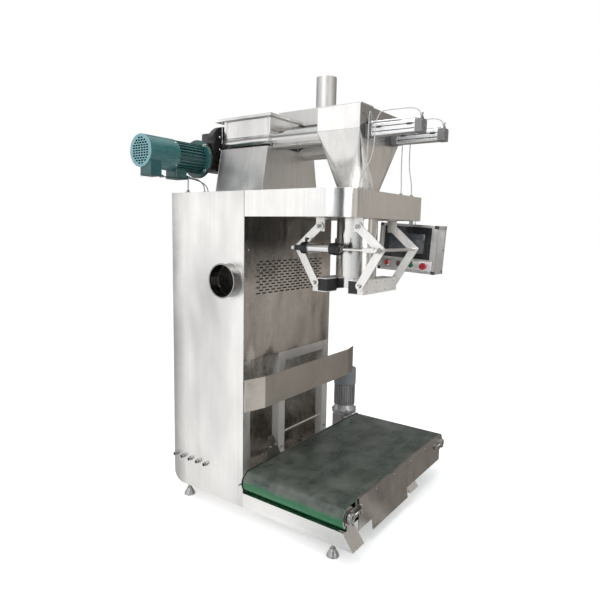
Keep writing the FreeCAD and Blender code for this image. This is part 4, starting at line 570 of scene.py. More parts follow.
class Fitting:
    """Small worked forms gathered in one mesh, which then rides on a body of the frame."""

    def __init__(self):
        self.mesh = bmesh.new()

    def keep(self, part, place=None):
        bmesh.ops.transform(part, matrix=place or Matrix(), verts=part.verts)
        held = bpy.data.meshes.new("held")
        part.to_mesh(held)
        part.free()
        self.mesh.from_mesh(held)
        bpy.data.meshes.remove(held)

    def slab(self, low, high, edge=1.0 * MM, place=None, segments=2):
        """A block between two corners with worked edges."""
        part = bmesh.new()
        low, high = Vector(low), Vector(high)
        bmesh.ops.create_cube(part, size=1.0)
        bmesh.ops.scale(part, vec=high - low, verts=part.verts)
        bmesh.ops.translate(part, vec=(high + low) / 2, verts=part.verts)
        bmesh.ops.bevel(part, geom=part.edges[:], offset=edge, segments=segments, profile=0.5, affect="EDGES",
                        material=-1)
        self.keep(part, place)

    def turned(self, section, point, axis, steps=24):
        """A section of (radius, height) points spun round the axis through a point."""
        part = bmesh.new()
        line = [part.verts.new((radius, 0, height)) for radius, height in section]
        edges = [part.edges.new(pair) for pair in zip(line, line[1:])]
        bmesh.ops.spin(part, geom=line + edges, cent=(0, 0, 0), axis=(0, 0, 1), dvec=(0, 0, 0),
                       angle=math.tau, steps=steps, use_merge=True, use_normal_flip=False,
                       use_duplicate=False)
        bmesh.ops.remove_doubles(part, verts=part.verts, dist=1e-6)
        bmesh.ops.dissolve_degenerate(part, dist=1e-7, edges=part.edges)
        self.keep(part, aim(point, axis))

    def washer(self, point, axis, inner, outer, thick, steps=24):
        """A flat ring with a chamfered outer edge."""
        chamfer = min(thick * 0.35, 0.8 * MM)
        self.turned([(inner, 0), (outer, 0), (outer, thick - chamfer), (outer - chamfer, thick),
                     (inner, thick), (inner, 0)], point, axis, steps)

    def hex_nut(self, point, axis, across, thick, hole=0.0):
        """A hexagon with chamfered corners. With a hole it has a sunk ring round its bolt."""
        part = bmesh.new()
        bmesh.ops.create_cone(part, cap_ends=True, segments=6, radius1=across / math.sqrt(3),
                              radius2=across / math.sqrt(3), depth=thick)
        bmesh.ops.translate(part, vec=(0, 0, thick / 2), verts=part.verts)
        rim = [edge for edge in part.edges if all(v.co.z > thick * 0.9 for v in edge.verts)]
        bmesh.ops.bevel(part, geom=rim, offset=thick * 0.16, segments=1, profile=0.5, affect="EDGES",
                        material=-1)
        if hole:
            top = max(part.faces, key=lambda face: face.calc_center_median().z)
            bmesh.ops.inset_region(part, faces=[top], thickness=across / 2 - hole, depth=0)
            bmesh.ops.translate(part, vec=(0, 0, -thick * 0.3), verts=top.verts)
        self.keep(part, aim(point, axis))

    def hex_bolt(self, point, axis, across=13 * MM, head=8 * MM):
        """A hexagon head on its washer."""
        self.washer(point, axis, across * 0.2, across * 0.74, across * 0.13)
        self.hex_nut(Vector(point) + Vector(axis).normalized() * across * 0.13, axis, across, head)

    def cap_screw(self, point, axis, radius=4.5 * MM, head=4 * MM):
        """A round head with a socket."""
        self.turned([(0, 0), (radius, 0), (radius, head * 0.8), (radius * 0.86, head), (radius * 0.52, head),
                     (radius * 0.48, head * 0.4), (0, head * 0.4)], point, axis, 18)

    def dome_screw(self, point, axis, radius=5 * MM, head=2.6 * MM):
        """A low domed head with a socket."""
        self.turned([(0, 0), (radius, 0), (radius * 0.93, head * 0.45), (radius * 0.72, head * 0.82),
                     (radius * 0.42, head), (radius * 0.38, head * 0.5), (0, head * 0.5)], point, axis, 18)

    def bead(self, start, end, radius):
        """A weld run between two points: ripples drawn along a straight joint."""
        start, end = Vector(start), Vector(end)
        length = (end - start).length
        count = max(int(length / (radius * 1.6)), 2)
        section = [(0, 0)] + [(radius * (1.0 if n % 2 else 0.86), length * (n + 0.5) / count)
                              for n in range(count)] + [(0, length)]
        self.turned(section, start, end - start, 6)

    def ring_bead(self, centre, axis, reach, radius, steps=72):
        """A weld run round a pipe."""
        self.turned([(reach + radius * math.cos(a), radius * math.sin(a))
                     for a in [math.tau * n / 8 for n in range(9)]], centre, axis, steps)

    def ride(self, name, finish, body, slot):
        """Ends the work: one object with its finish, on its body."""
        bmesh.ops.recalc_face_normals(self.mesh, faces=self.mesh.faces)
        data = bpy.data.meshes.new(name)
        self.mesh.to_mesh(data)
        self.mesh.free()
        item = bpy.data.objects.new(name, data)
        bpy.context.scene.collection.objects.link(item)
        data.materials.append(finish_of(finish))
        data.shade_smooth()
        data.set_sharp_from_angle(angle=math.radians(38))
        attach(item, body)
        return item


def both(value):
    """A value and its mirror image."""
    return (-value, value)


def lead(name, points, radius, finish, nodes):
    """A cable or hose on one smooth line through the route's points, held at both ends."""
    data = bpy.data.curves.new(name, "CURVE")
    data.dimensions = "3D"
    data.bevel_depth = radius
    data.bevel_resolution = 4
    data.use_fill_caps = True
    line = data.splines.new("NURBS")
    line.points.add(len(points) - 1)
    for place, point in zip(line.points, points):
        place.co = (*(value * MM for value in point), 1.0)
    line.order_u = 3
    line.use_endpoint_u = True
    line.resolution_u = 12
    item = bpy.data.objects.new(name, data)
    bpy.context.scene.collection.objects.link(item)
    data.materials.append(finish_of(finish))
    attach(item, "frame")
    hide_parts(*nodes)


# Sizes and colours that a user would change

class PackerLooks(bpy.types.PropertyGroup):
    sheet_tone: FloatProperty(name="Sheet tone", description="How much light the stainless sheet gives back",
                              default=0.62, min=0.2, max=0.9, subtype="FACTOR")
    motor_paint: FloatVectorProperty(name="Motor paint", description="Colour of the screw motors' paint",
                                     default=(0.008, 0.098, 0.100), size=3, min=0.0, max=1.0, subtype="COLOR")
    cowl_end: FloatVectorProperty(name="Cowl end", description="Colour of the grille end of the fan cowls",
                                  default=(0.150, 0.330, 0.360), size=3, min=0.0, max=1.0, subtype="COLOR")
    bolt_across: FloatProperty(name="Bolt size", description="Size across the flats of the hexagon bolts",
                               default=13 * MM, min=5 * MM, max=24 * MM, unit="LENGTH")
    weld_radius: FloatProperty(name="Weld size", description="Radius of the weld runs",
                               default=1.5 * MM, min=0.5 * MM, max=4 * MM, unit="LENGTH")


class PackerLight(bpy.types.PropertyGroup):
    key_power: FloatProperty(name="Key light", description="Power of the lamp at the left", default=60.0,
                             min=0.0, unit="POWER")
    fill_power: FloatProperty(name="Fill light", description="Power of the lamp by the camera", default=40.0,
                              min=0.0, unit="POWER")
    top_power: FloatProperty(name="Top light", description="Power of the lamp overhead", default=90.0,
                             min=0.0, unit="POWER")
    room_level: FloatProperty(name="Room light", description="Strength of the room's cards", default=1.0,
                              min=0.0, max=4.0, subtype="FACTOR")


# Operators, in the order in which main calls them

class PACKER_OT_sheets(bpy.types.Operator):
    """Finishes on cabinet, platform, feeder, chute, base and guard"""
    bl_idname = "packer.sheets"
    bl_label = "Sheet metal"

    def execute(self, context):
        dress("sheet_wall", "cabinet_shell", "rear_door")
        dress("sheet_panel", "perforated_panel")
        dress("sheet_inner", "recess_liner", "platform_plate")
        dress("sheet_skirt", "platform_skirt")
        dress("sheet_guard", "guard_plate")
        dress("sheet_side", "conveyor_sides", "conveyor_bed")
        dress("sheet_base", "base_beams")
        dress("post_satin", "guard_frame")
        dress("sheet_hopper", "hopper", "discharge_chute")
        dress("sheet_stand", "feeder_stand")
        dress("sheet_vent", "vent_hood")
        dress("tube_polished", "screw_barrels", "fine_auger", "coarse_auger")
        dress("spout_polished", "filling_spout")
        dress("fitting_steel", "dust_port", "hose_fittings")
        dress("bar_satin", "door_hinges", "door_latch", "panel_arm")
        dress("foot_cast", "levelling_feet")
        return {"FINISHED"}


class PACKER_OT_welds(bpy.types.Operator):
    """Weld runs on the stainless joints and the dark seam between cabinet and platform"""
    bl_idname = "packer.welds"
    bl_label = "Welds and seams"

    def execute(self, context):
        radius = context.scene.packer_looks.weld_radius
        pipe_radius, mouth_half, spout_radius = 59 * MM, 34 * MM, 110 * MM
        runs = Fitting()
        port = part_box("dust_port")
        port_middle = (port[0] + port[1]) / 2
        port_reach = (port[1].z - port[0].z) / 2 - 4 * MM
        runs.ring_bead((WALL_LEFT, port_middle.y, port_middle.z), (-1, 0, 0), port_reach, radius * 1.3)
        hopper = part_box("hopper")
        hopper_half = hopper[1].x - 16 * MM
        hopper_front, hopper_back = hopper[0].y + 16 * MM, hopper[1].y - 63 * MM
        rim_under = hopper[1].z - 15 * MM
        for x in both(hopper_half):
            for y in (hopper_front, hopper_back):
                runs.bead((x, y, FINE.z), (x, y, rim_under), radius)
            runs.bead((x, hopper_front, rim_under), (x, hopper_back, rim_under), radius)
        runs.bead((-hopper_half, hopper_front, rim_under), (hopper_half, hopper_front, rim_under), radius)
        for x, reach in ((FINE.x, 52 * MM), (COARSE.x, 76 * MM)):
            runs.ring_bead((x, hopper_front - 12 * MM, FINE.z), (0, 1, 0), reach, radius)
        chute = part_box("discharge_chute")
        box_under, box_top = FINE.z + 6 * MM, chute[1].z
        for x in both(chute[1].x):
            runs.bead((x, chute[0].y, box_under), (x, chute[1].y, box_under), radius)
            for y in both(chute[1].y):
                runs.bead((x, y, box_under), (x, y, box_top), radius * 0.8)
        for low, high in ((-chute[1].x, FINE.x - mouth_half), (FINE.x + mouth_half, COARSE.x - mouth_half),
                          (COARSE.x + mouth_half, chute[1].x)):
            runs.bead((low, chute[0].y, box_under), (high, chute[0].y, box_under), radius)
        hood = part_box("vent_hood")
        for x in (hood[0].x, hood[1].x):
            runs.bead((x, hood[0].y, box_top), (x, chute[1].y, box_top), radius)
        runs.bead((hood[0].x, hood[0].y, box_top), (hood[1].x, hood[0].y, box_top), radius)
        pipe = Vector(((hood[0].x + hood[1].x) / 2, 337 * MM, hood[1].z - 177 * MM))
        runs.ring_bead(pipe, (0, 0, 1), pipe_radius, radius)
        runs.bead((pipe.x - pipe_radius, pipe.y, pipe.z),
                  (pipe.x - pipe_radius, pipe.y, hood[1].z - 1 * MM), radius * 0.5)
        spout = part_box("filling_spout")
        runs.ring_bead((0, 0, DECK + 6 * MM), (0, 0, 1), spout_radius, radius)
        runs.bead((0, -spout_radius, spout[0].z), (0, -spout_radius, PLATFORM_UNDER), radius * 0.4)
        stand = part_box("feeder_stand")
        stand_top_half = 220 * MM
        for x, head in ((stand[0].x, -stand_top_half), (stand[1].x, stand_top_half)):
            for y in (stand[0].y, stand[1].y):
                runs.bead((x, y, stand[0].z), (head, y, stand[1].z), radius * 0.8)
            runs.bead((x, stand[0].y, stand[0].z + radius), (x, stand[1].y, stand[0].z + radius), radius)
        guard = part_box("guard_frame")
        for x in (guard[0].x + 60 * MM, guard[1].x - 60 * MM):
            runs.bead((x, POST_FRONT, guard[1].z - 56 * MM), (x, POST_FRONT, guard[1].z), radius)
        plate_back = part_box("guard_plate")[0].y + 3 * MM
        for x in (guard[0].x + 15 * MM, guard[0].x + 45 * MM, guard[1].x - 45 * MM, guard[1].x - 15 * MM):
            runs.bead((x, plate_back, 780 * MM), (x, plate_back, 810 * MM), radius)
        for x in (WALL_LEFT + 114 * MM, WALL_RIGHT - 114 * MM):
            runs.bead((x, CABINET_FRONT, 95 * MM), (x, CABINET_FRONT, 178 * MM), radius)
        runs.ride("weld_runs", "weld", "frame", "steel_dark")

        seams = Fitting()
        for x in (WALL_LEFT, WALL_RIGHT):
            seams.slab((x - 0.5 * MM, CABINET_FRONT - 1.4 * MM, PLATFORM_UNDER),
                       (x + 0.5 * MM, CABINET_FRONT + 0.9 * MM, DECK - 0.5 * MM), 0.3 * MM)
        seams.slab((WALL_LEFT + 1 * MM, CABINET_FRONT - 1.2 * MM, DECK - 0.4 * MM),
                   (WALL_RIGHT - 1 * MM, CABINET_FRONT + 1.2 * MM, DECK + 0.3 * MM), 0.2 * MM)
        seams.ride("platform_seams", "trim_dark", "frame", "rubber_black")
        return {"FINISHED"}


class PACKER_OT_cabinet(bpy.types.Operator):
    """Fastenings of the cabinet, its door, its wall fittings and its feet"""
    bl_idname = "packer.cabinet"
    bl_label = "Cabinet fastenings"

    def execute(self, context):
        across = context.scene.packer_looks.bolt_across
        bolts = Fitting()
        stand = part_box("feeder_stand")
        for x, out in ((stand[0].x, -1), (stand[1].x, 1)):
            for y in (stand[0].y + 32 * MM, stand[1].y - 32 * MM):
                low, high = sorted((x, x + out * 30 * MM))
                bolts.slab((low, y - 18 * MM, DECK), (high, y + 18 * MM, DECK + 4 * MM))
                bolts.hex_bolt((x + out * 17 * MM, y, DECK + 4 * MM), (0, 0, 1), across * 0.8, 6 * MM)
        panel_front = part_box("perforated_panel")[0].y
        for x in both(0.385):
            for z in (0.975, 1.235, 1.535):
                bolts.dome_screw((x, panel_front, z), (0, -1, 0))
        near_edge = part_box("recess_liner")[0].x - 14 * MM
        for z in (0.30, 0.55, 0.80):
            bolts.dome_screw((near_edge, CABINET_FRONT, z), (0, -1, 0), 4 * MM, 2 * MM)
        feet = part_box("levelling_feet")
        for x in (feet[0].x + 34 * MM, feet[1].x - 34 * MM):
            for y in (feet[0].y + 34 * MM, feet[1].y - 34 * MM):
                bolts.hex_nut((x, y, feet[1].z - 15 * MM), (0, 0, 1), 36 * MM, 15 * MM)
                bolts.hex_nut((x, y, feet[1].z - 32 * MM), (0, 0, 1), 28 * MM, 9 * MM)
                bolts.turned([(9.2 * MM, 0)] + [(reach * MM, level * MM) for n in range(10)
                                               for reach, level in ((9.2, n * 1.6), (9.9, n * 1.6 + 0.8))]
                             + [(9.2 * MM, 16 * MM)], (x, y, feet[1].z - 50 * MM), (0, 0, 1), 16)
        bolts.ride("cabinet_bolts", "fastening", "frame", "steel_dark")

        door = Fitting()
        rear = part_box("rear_door")
        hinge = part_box("door_hinges")
        for level in HINGE_LEVELS:
            for z in (level + 20 * MM, level + 70 * MM):
                door.dome_screw((rear[0].x + 27 * MM, CABINET_BACK + 3 * MM, z), (0, 1, 0), 4 * MM, 2.2 * MM)
        latch = pivot("latch_turn")
        door.washer((latch.x, CABINET_BACK + 0.2 * MM, latch.z), (0, 1, 0), 16.5 * MM, 23 * MM, 2.2 * MM)
        door.ride("door_fastenings", "fastening", "door", "steel_dark")
        leaves = Fitting()
        for level in HINGE_LEVELS:
            for z in (level + 20 * MM, level + 70 * MM):
                leaves.dome_screw((hinge[0].x + 12 * MM, CABINET_BACK + 3 * MM, z), (0, 1, 0), 4 * MM,
                                  2.2 * MM)
        leaves.ride("hinge_screws", "fastening", "frame", "steel_dark")

        glands = Fitting()
        fitting_x, fitting_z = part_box("hose_fittings")[0].x, 272 * MM
        fitting_ys = [CABINET_BACK - 20 * MM - n * 63 * MM for n in range(5)]
        for y in fitting_ys:
            glands.hex_nut((WALL_LEFT, y, fitting_z), (-1, 0, 0), DECK_NUT, 7 * MM)
            glands.washer((fitting_x + 4 * MM, y, fitting_z), (-1, 0, 0), 5.5 * MM, 9.8 * MM, 4 * MM)
        for sign in (-1, 1):
            for x, y in ((384, 468), (273, 448), (206, 488)):
                glands.hex_nut((sign * x * MM, CABINET_FRONT + y * MM, DECK), (0, 0, 1), DECK_NUT, 6 * MM)
        for x, y in ((-257, -150), (-222, -150), (207, -150), (344, -150)):
            glands.hex_nut((x * MM, y * MM, DECK), (0, 0, 1), GLAND_NUT, 7 * MM)
        glands.ride("gland_nuts", "fitting_steel", "frame", "steel_dark")
        # Painted shade: dark discs in the fittings' bores stand in for the shade inside the holes.
        bore_shadows = Fitting()
        for y in fitting_ys:
            bore_shadows.turned([(0, 0), (5.6 * MM, 0), (5.2 * MM, 0.6 * MM), (0, 0.6 * MM)],
                         (fitting_x + 0.4 * MM, y, fitting_z), (-1, 0, 0), 20)
        bore_shadows.ride("fitting_bore_shadows", "rubber", "frame", "rubber_black")
        return {"FINISHED"}


class PACKER_OT_drives(bpy.types.Operator):
    """Finishes and fastenings of the motors and gearboxes"""
    bl_idname = "packer.drives"
    bl_label = "Drives"

    def execute(self, context):
        across = context.scene.packer_looks.bolt_across
        dress("motor_paint", "screw_motor_frames", "terminal_boxes")
        dress("cowl_paint", "screw_motor_cowls")
        dress("gear_black", "screw_gearboxes", "screw_bearings")
        dress("cast_alloy", "conveyor_motor_frame", "conveyor_gearbox")
        dress("motor_grey", "conveyor_motor_cowl")
        dress("machined", "fine_rotor", "coarse_rotor", "conveyor_rotor", "drive_roller", "idler_roller")

        bolts, paint = Fitting(), Fitting()
        flange_reach, flange_half, flange_circle = 157 * MM, 12 * MM, 97 * MM
        cowl_reach, cowl_radius, drive_length = 205 * MM, 86 * MM, 406 * MM
        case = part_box("screw_gearboxes")
        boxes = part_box("terminal_boxes")
        for middle, motor, sign in ((FINE, MOTOR_LEFT, -1), (COARSE, MOTOR_RIGHT, 1)):
            start = middle.x + sign * flange_reach
            for point in ring_of((start + sign * flange_half, motor.y, motor.z), (sign, 0, 0), flange_circle,
                                 4, 45):
                bolts.hex_bolt(point, (sign, 0, 0), across * 1.15, 9 * MM)
            for point in ring_of((start - sign * flange_half, motor.y, motor.z), (-sign, 0, 0), flange_circle,
                                 4, 45):
                bolts.hex_nut(point, (-sign, 0, 0), across * 1.15, 8 * MM)
            for point in ring_of((middle.x, case[0].y, middle.z), (0, -1, 0), 92 * MM, 8, 22.5):
                bolts.cap_screw(point, (0, -1, 0), 6.5 * MM, 6 * MM)
            for point in ring_of((middle.x, case[1].y - 3.6 * MM, middle.z), (0, 1, 0), 52 * MM, 6, 30):
                bolts.cap_screw(point, (0, 1, 0), 4.5 * MM, 4 * MM)
            bolts.hex_nut((middle.x - sign * 38 * MM, motor.y, middle.z + 72 * MM), (0, 0, 1), GLAND_NUT,
                          9 * MM)
            bolts.hex_nut((middle.x - sign * 70 * MM, motor.y + 20 * MM, middle.z - 30 * MM), (-sign, 0, 0),
                          GLAND_NUT, 8 * MM)
            cowl_start = start + sign * cowl_reach
            for point in ring_of((cowl_start + sign * 12 * MM, motor.y, motor.z), (sign, 0, 0), cowl_radius,
                                 4, 45):
                outward = point - Vector((point.x, motor.y, motor.z))
                bolts.dome_screw(point - outward.normalized() * 0.4 * MM, outward, 5 * MM, 2.4 * MM)
            lid_low, lid_high = sorted((start + sign * 110.5 * MM, start + sign * 201.5 * MM))
            paint.slab((lid_low, motor.y - 37.5 * MM, boxes[0].z + 12 * MM),
                       (lid_high, motor.y + 53.5 * MM, boxes[0].z + 15 * MM), 1.2 * MM)
            end = start + sign * drive_length
            cap_low, cap_high = sorted((end - sign * 83.5 * MM, end - sign * 2.5 * MM))
            paint.slab((cap_low, motor.y - 73.5 * MM, boxes[0].z + 11 * MM),
                       (cap_high, motor.y + 13.5 * MM, boxes[0].z + 14 * MM), 1.2 * MM)
            for x in (cap_low + 8 * MM, cap_high - 8 * MM):
                for y in (motor.y - 66 * MM, motor.y + 6 * MM):
                    bolts.dome_screw((x, y, boxes[0].z + 0.2 * MM), (0, 0, -1), 3.5 * MM, 1.6 * MM)
            for y in (885 * MM, 925 * MM):
                bolts.hex_nut((start + sign * 112 * MM, y, MOTOR_GLAND * MM), (-sign, 0, 0), GLAND_NUT,
                              5 * MM)
            bolts.hex_nut((end - sign * 82 * MM, motor.y - 56 * MM, COWL_GLAND * MM), (-sign, 0, 0),
                          GLAND_NUT, 5 * MM)
        bolts.ride("drive_bolts", "fastening", "frame", "steel_dark")
        paint.ride("terminal_box_lids", "motor_paint", "frame", "teal_paint")
        return {"FINISHED"}


class PACKER_OT_gates(bpy.types.Operator):
    """Finishes and fittings of the two gate cylinders"""
    bl_idname = "packer.gates"
    bl_label = "Gate cylinders"

    def execute(self, context):
        dress("gate_profile", "gate_cylinders")
        dress("chromed", "fine_gate", "coarse_gate")
        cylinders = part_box("gate_cylinders")
        front, back, half = cylinders[0].y, cylinders[1].y, 31 * MM
        screws, groove_shadows, rails, valves, switches = (Fitting() for _ in range(5))
        for middle in (FINE, COARSE):
            for dx in both(half - 9 * MM):
                for dz in both(half - 9 * MM):
                    screws.turned([(0, 0), (6.5 * MM, 0), (6.5 * MM, 0.2 * MM), (0, 0.2 * MM)],
                                  (middle.x + dx, front, middle.z + dz), (0, -1, 0), 20)
                    screws.hex_nut((middle.x + dx, front + 4.5 * MM, middle.z + dz), (0, -1, 0), 9 * MM,
                                   5 * MM)
            screws.turned([(0, 0), (17 * MM, 0), (17 * MM, 1.4 * MM), (15 * MM, 2.4 * MM),
                           (13 * MM, 1.0 * MM), (0, 1.0 * MM)],
                          (middle.x, front + 2 * MM, middle.z), (0, -1, 0), 32)
            # Painted shade: thin dark strips on the profile's sides stand in for the shade inside its
            # grooves.
            for side in (-1, 1):
                face = middle.x + side * (half - 2 * MM)
                for dz in both(11 * MM):
                    low, high = sorted((face, face + side * 0.25 * MM))
                    groove_shadows.slab((low, front + 36 * MM, middle.z + dz - 2.2 * MM),
                                 (high, back - 36 * MM, middle.z + dz + 2.2 * MM), 0.1 * MM, segments=1)
            for y in (front + 62 * MM, back - 70 * MM):
                side_face = middle.x - (half - 2 * MM)
                switches.slab((side_face - 5 * MM, y - 12 * MM, middle.z + 6 * MM),
                              (side_face + 1 * MM, y + 12 * MM, middle.z + 15 * MM), 1 * MM)
            rail_x, rail_z = middle.x - 20 * MM, middle.z + half + 7 * MM
            rails.turned([(0, 0), (3.5 * MM, 0.4 * MM), (3.5 * MM, back - front - 30.4 * MM),
                          (0, back - front - 30 * MM)], (rail_x, front + 12 * MM, rail_z), (0, 1, 0), 16)
            for y in (front + 17 * MM, back - 30 * MM):
                rails.slab((rail_x - 6 * MM, y - 7 * MM, middle.z + half - 1 * MM),
                           (rail_x + 6 * MM, y + 7 * MM, rail_z + 5 * MM), 1.4 * MM)
            for y in (front + 17 * MM, back - 17 * MM):
                valves.hex_nut((middle.x, y, middle.z + half), (0, 0, 1), 15 * MM, 5 * MM)
                valves.washer((middle.x, y, middle.z + half + 12 * MM), (0, 0, 1), 3.2 * MM, 6.4 * MM,
                              9 * MM)
                knob = middle.x + 16 * MM
                valves.slab((middle.x, y - 5 * MM, middle.z + half + 5 * MM),
                            (knob + 5 * MM, y + 5 * MM, middle.z + half + 13 * MM), 1.6 * MM)
                valves.turned([(0, 0), (4.2 * MM, 0), (4.2 * MM, 8 * MM), (2.6 * MM, 9 * MM),
                               (2.6 * MM, 15 * MM), (5 * MM, 16 * MM), (5 * MM, 21 * MM), (4.2 * MM, 22 * MM),
                               (0, 22 * MM)], (knob, y, middle.z + half + 11 * MM), (0, 0, 1), 16)
        screws.ride("gate_cap_screws", "fastening", "frame", "steel_dark")
        groove_shadows.ride("gate_groove_shadows", "trim_dark", "frame", "rubber_black")
        rails.ride("gate_rails", "anodised", "frame", "aluminium")
        valves.ride("gate_flow_valves", "fitting_steel", "frame", "steel_dark")
        switches.ride("gate_switches", "fitting_black", "frame", "cable_black")
        return {"FINISHED"}


class PACKER_OT_clamp(bpy.types.Operator):
    """Finishes, nuts and fittings of the bag clamp"""
    bl_idname = "packer.clamp"
    bl_label = "Bag clamp"

    def execute(self, context):
        dress("bar_satin", "clamp_hangers", "front_clamp_arms", "back_clamp_arms")
        dress("jaw_satin", "front_jaw", "back_jaw")
        dress("rubber", "front_jaw_pad", "back_jaw_pad")
        dress("clamp_profile", "clamp_cylinder")
        dress("chromed", "clamp_rod")
        arm_face, hanger_face, hanger_flange = 199 * MM, 206 * MM, 168 * MM
        jaw_reach, jaw_drop, rod_face, rod_nut = 136 * MM, 296 * MM, -245.6 * MM, 19 * MM
        hangers = Fitting()
        for face in (-1, 1):
            for y in both(CLAMP_BACK.y):
                hangers.hex_nut((face * hanger_face, y, CLAMP_BACK.z), (face, 0, 0), rod_nut, 7 * MM, 5 * MM)
                for dy in both(16 * MM):
                    hangers.hex_bolt((face * hanger_flange, y + dy, PLATFORM_UNDER - 6 * MM), (0, 0, -1),
                                     10 * MM, 5 * MM)
        hangers.ride("hanger_nuts", "fastening", "frame", "steel_dark")

        for word, side, apex, sleeve_end in (("front", -1, ROD_PIN, 218.5 * MM),
                                             ("back", 1, BARREL_PIN, 221.0 * MM)):
            nuts = Fitting()
            nuts.turned([(8.2 * MM, 0), (12 * MM, 0), (12 * MM, sleeve_end - arm_face),
                         (8.2 * MM, sleeve_end - arm_face), (8.2 * MM, 0)],
                        (-arm_face, apex.y, apex.z), (-1, 0, 0), 24)
            nuts.hex_nut((arm_face, apex.y, apex.z), (1, 0, 0), rod_nut, 7 * MM, 6 * MM)
            nuts.washer((rod_face, apex.y, apex.z), (-1, 0, 0), 7.9 * MM, 12.5 * MM, 1.6 * MM)
            nuts.hex_nut((rod_face - 1.8 * MM, apex.y, apex.z), (-1, 0, 0), rod_nut, 5.5 * MM, 6 * MM)
            jaw_y, jaw_z = side * jaw_reach, CLAMP_BACK.z - jaw_drop
            for face in (-1, 1):
                nuts.washer((face * arm_face, jaw_y, jaw_z), (face, 0, 0), 7.5 * MM, 12.5 * MM, 1.6 * MM)
                nuts.hex_nut((face * (arm_face + 1.6 * MM), jaw_y, jaw_z), (face, 0, 0), rod_nut, 6.5 * MM,
                             6 * MM)
            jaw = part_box(f"{word}_jaw")
            outer_y = jaw[0].y if side < 0 else jaw[1].y
            for x in (-150 * MM, -50 * MM, 50 * MM, 150 * MM):
                for z in (jaw[0].z + 14 * MM, jaw[1].z - 14 * MM):
                    nuts.dome_screw((x, outer_y, z), (0, side, 0), 4.5 * MM, 2.2 * MM)
            nuts.ride(f"{word}_clamp_nuts", "fastening", f"{word}_clamp", "steel_dark")

        cylinder = Fitting()
        rear, front = 194 * MM, -43 * MM
        for point in ring_of((BARREL_PIN.x, rear, BARREL_PIN.z), (0, 1, 0), 23 * MM, 4, 45):
            cylinder.cap_screw(point, (0, 1, 0), 4 * MM, 4 * MM)
        for point in ring_of((BARREL_PIN.x, front, BARREL_PIN.z), (0, -1, 0), 22 * MM, 4, 45):
            cylinder.cap_screw(point, (0, -1, 0), 4 * MM, 4 * MM)
        cylinder.washer((BARREL_PIN.x, front, BARREL_PIN.z), (0, -1, 0), 8.6 * MM, 14 * MM, 4 * MM)
        for y in (17 * MM, 148.5 * MM):
            cylinder.washer((BARREL_PIN.x, y, BARREL_PIN.z), (0, 1, 0), 25 * MM, 27 * MM, 2.5 * MM, 36)
        cylinder.ride("clamp_cylinder_trim", "fastening", "clamp_barrel", "steel_dark")
        ribs = Fitting()
        pitch = 9 * MM
        for start, end in ((154 * MM, 192 * MM), (-40 * MM, 14 * MM)):
            for n in range(int((end - start) / pitch)):
                ribs.washer((BARREL_PIN.x, start + n * pitch, BARREL_PIN.z), (0, 1, 0), 29.5 * MM, 31.6 * MM,
                            5 * MM, 36)
        for y in (172 * MM, -13 * MM):
            ribs.turned([(0, 0), (7.5 * MM, 0), (7.5 * MM, 9 * MM), (6 * MM, 10 * MM), (6 * MM, 17 * MM),
                         (4.5 * MM, 18 * MM), (0, 18 * MM)],
                        (BARREL_PIN.x, y, BARREL_PIN.z + 37 * MM), (0, 0, 1), 20)
            ribs.turned([(0, 0), (6 * MM, 0), (6 * MM, 14 * MM), (4.8 * MM, 15 * MM), (4.8 * MM, 19 * MM),
                         (2.8 * MM, 19 * MM), (2.8 * MM, 14 * MM), (0, 14 * MM)],
                        (BARREL_PIN.x, y, BARREL_PIN.z + 48 * MM), (1, 0, 0), 20)
        ribs.ride("clamp_cylinder_caps", "fitting_black", "clamp_barrel", "rubber_black")
        locknut = Fitting()
        locknut.hex_nut((ROD_PIN.x, -172 * MM, ROD_PIN.z), (0, 1, 0), 23 * MM, 9 * MM)
        locknut.turned([(8.1 * MM, 0), (8.6 * MM, 0.4 * MM), (8.1 * MM, 0.8 * MM)],
                       (ROD_PIN.x, -158 * MM, ROD_PIN.z), (0, 1, 0), 24)
        locknut.ride("rod_locknut", "fastening", "clamp_piston", "steel_dark")
        return {"FINISHED"}


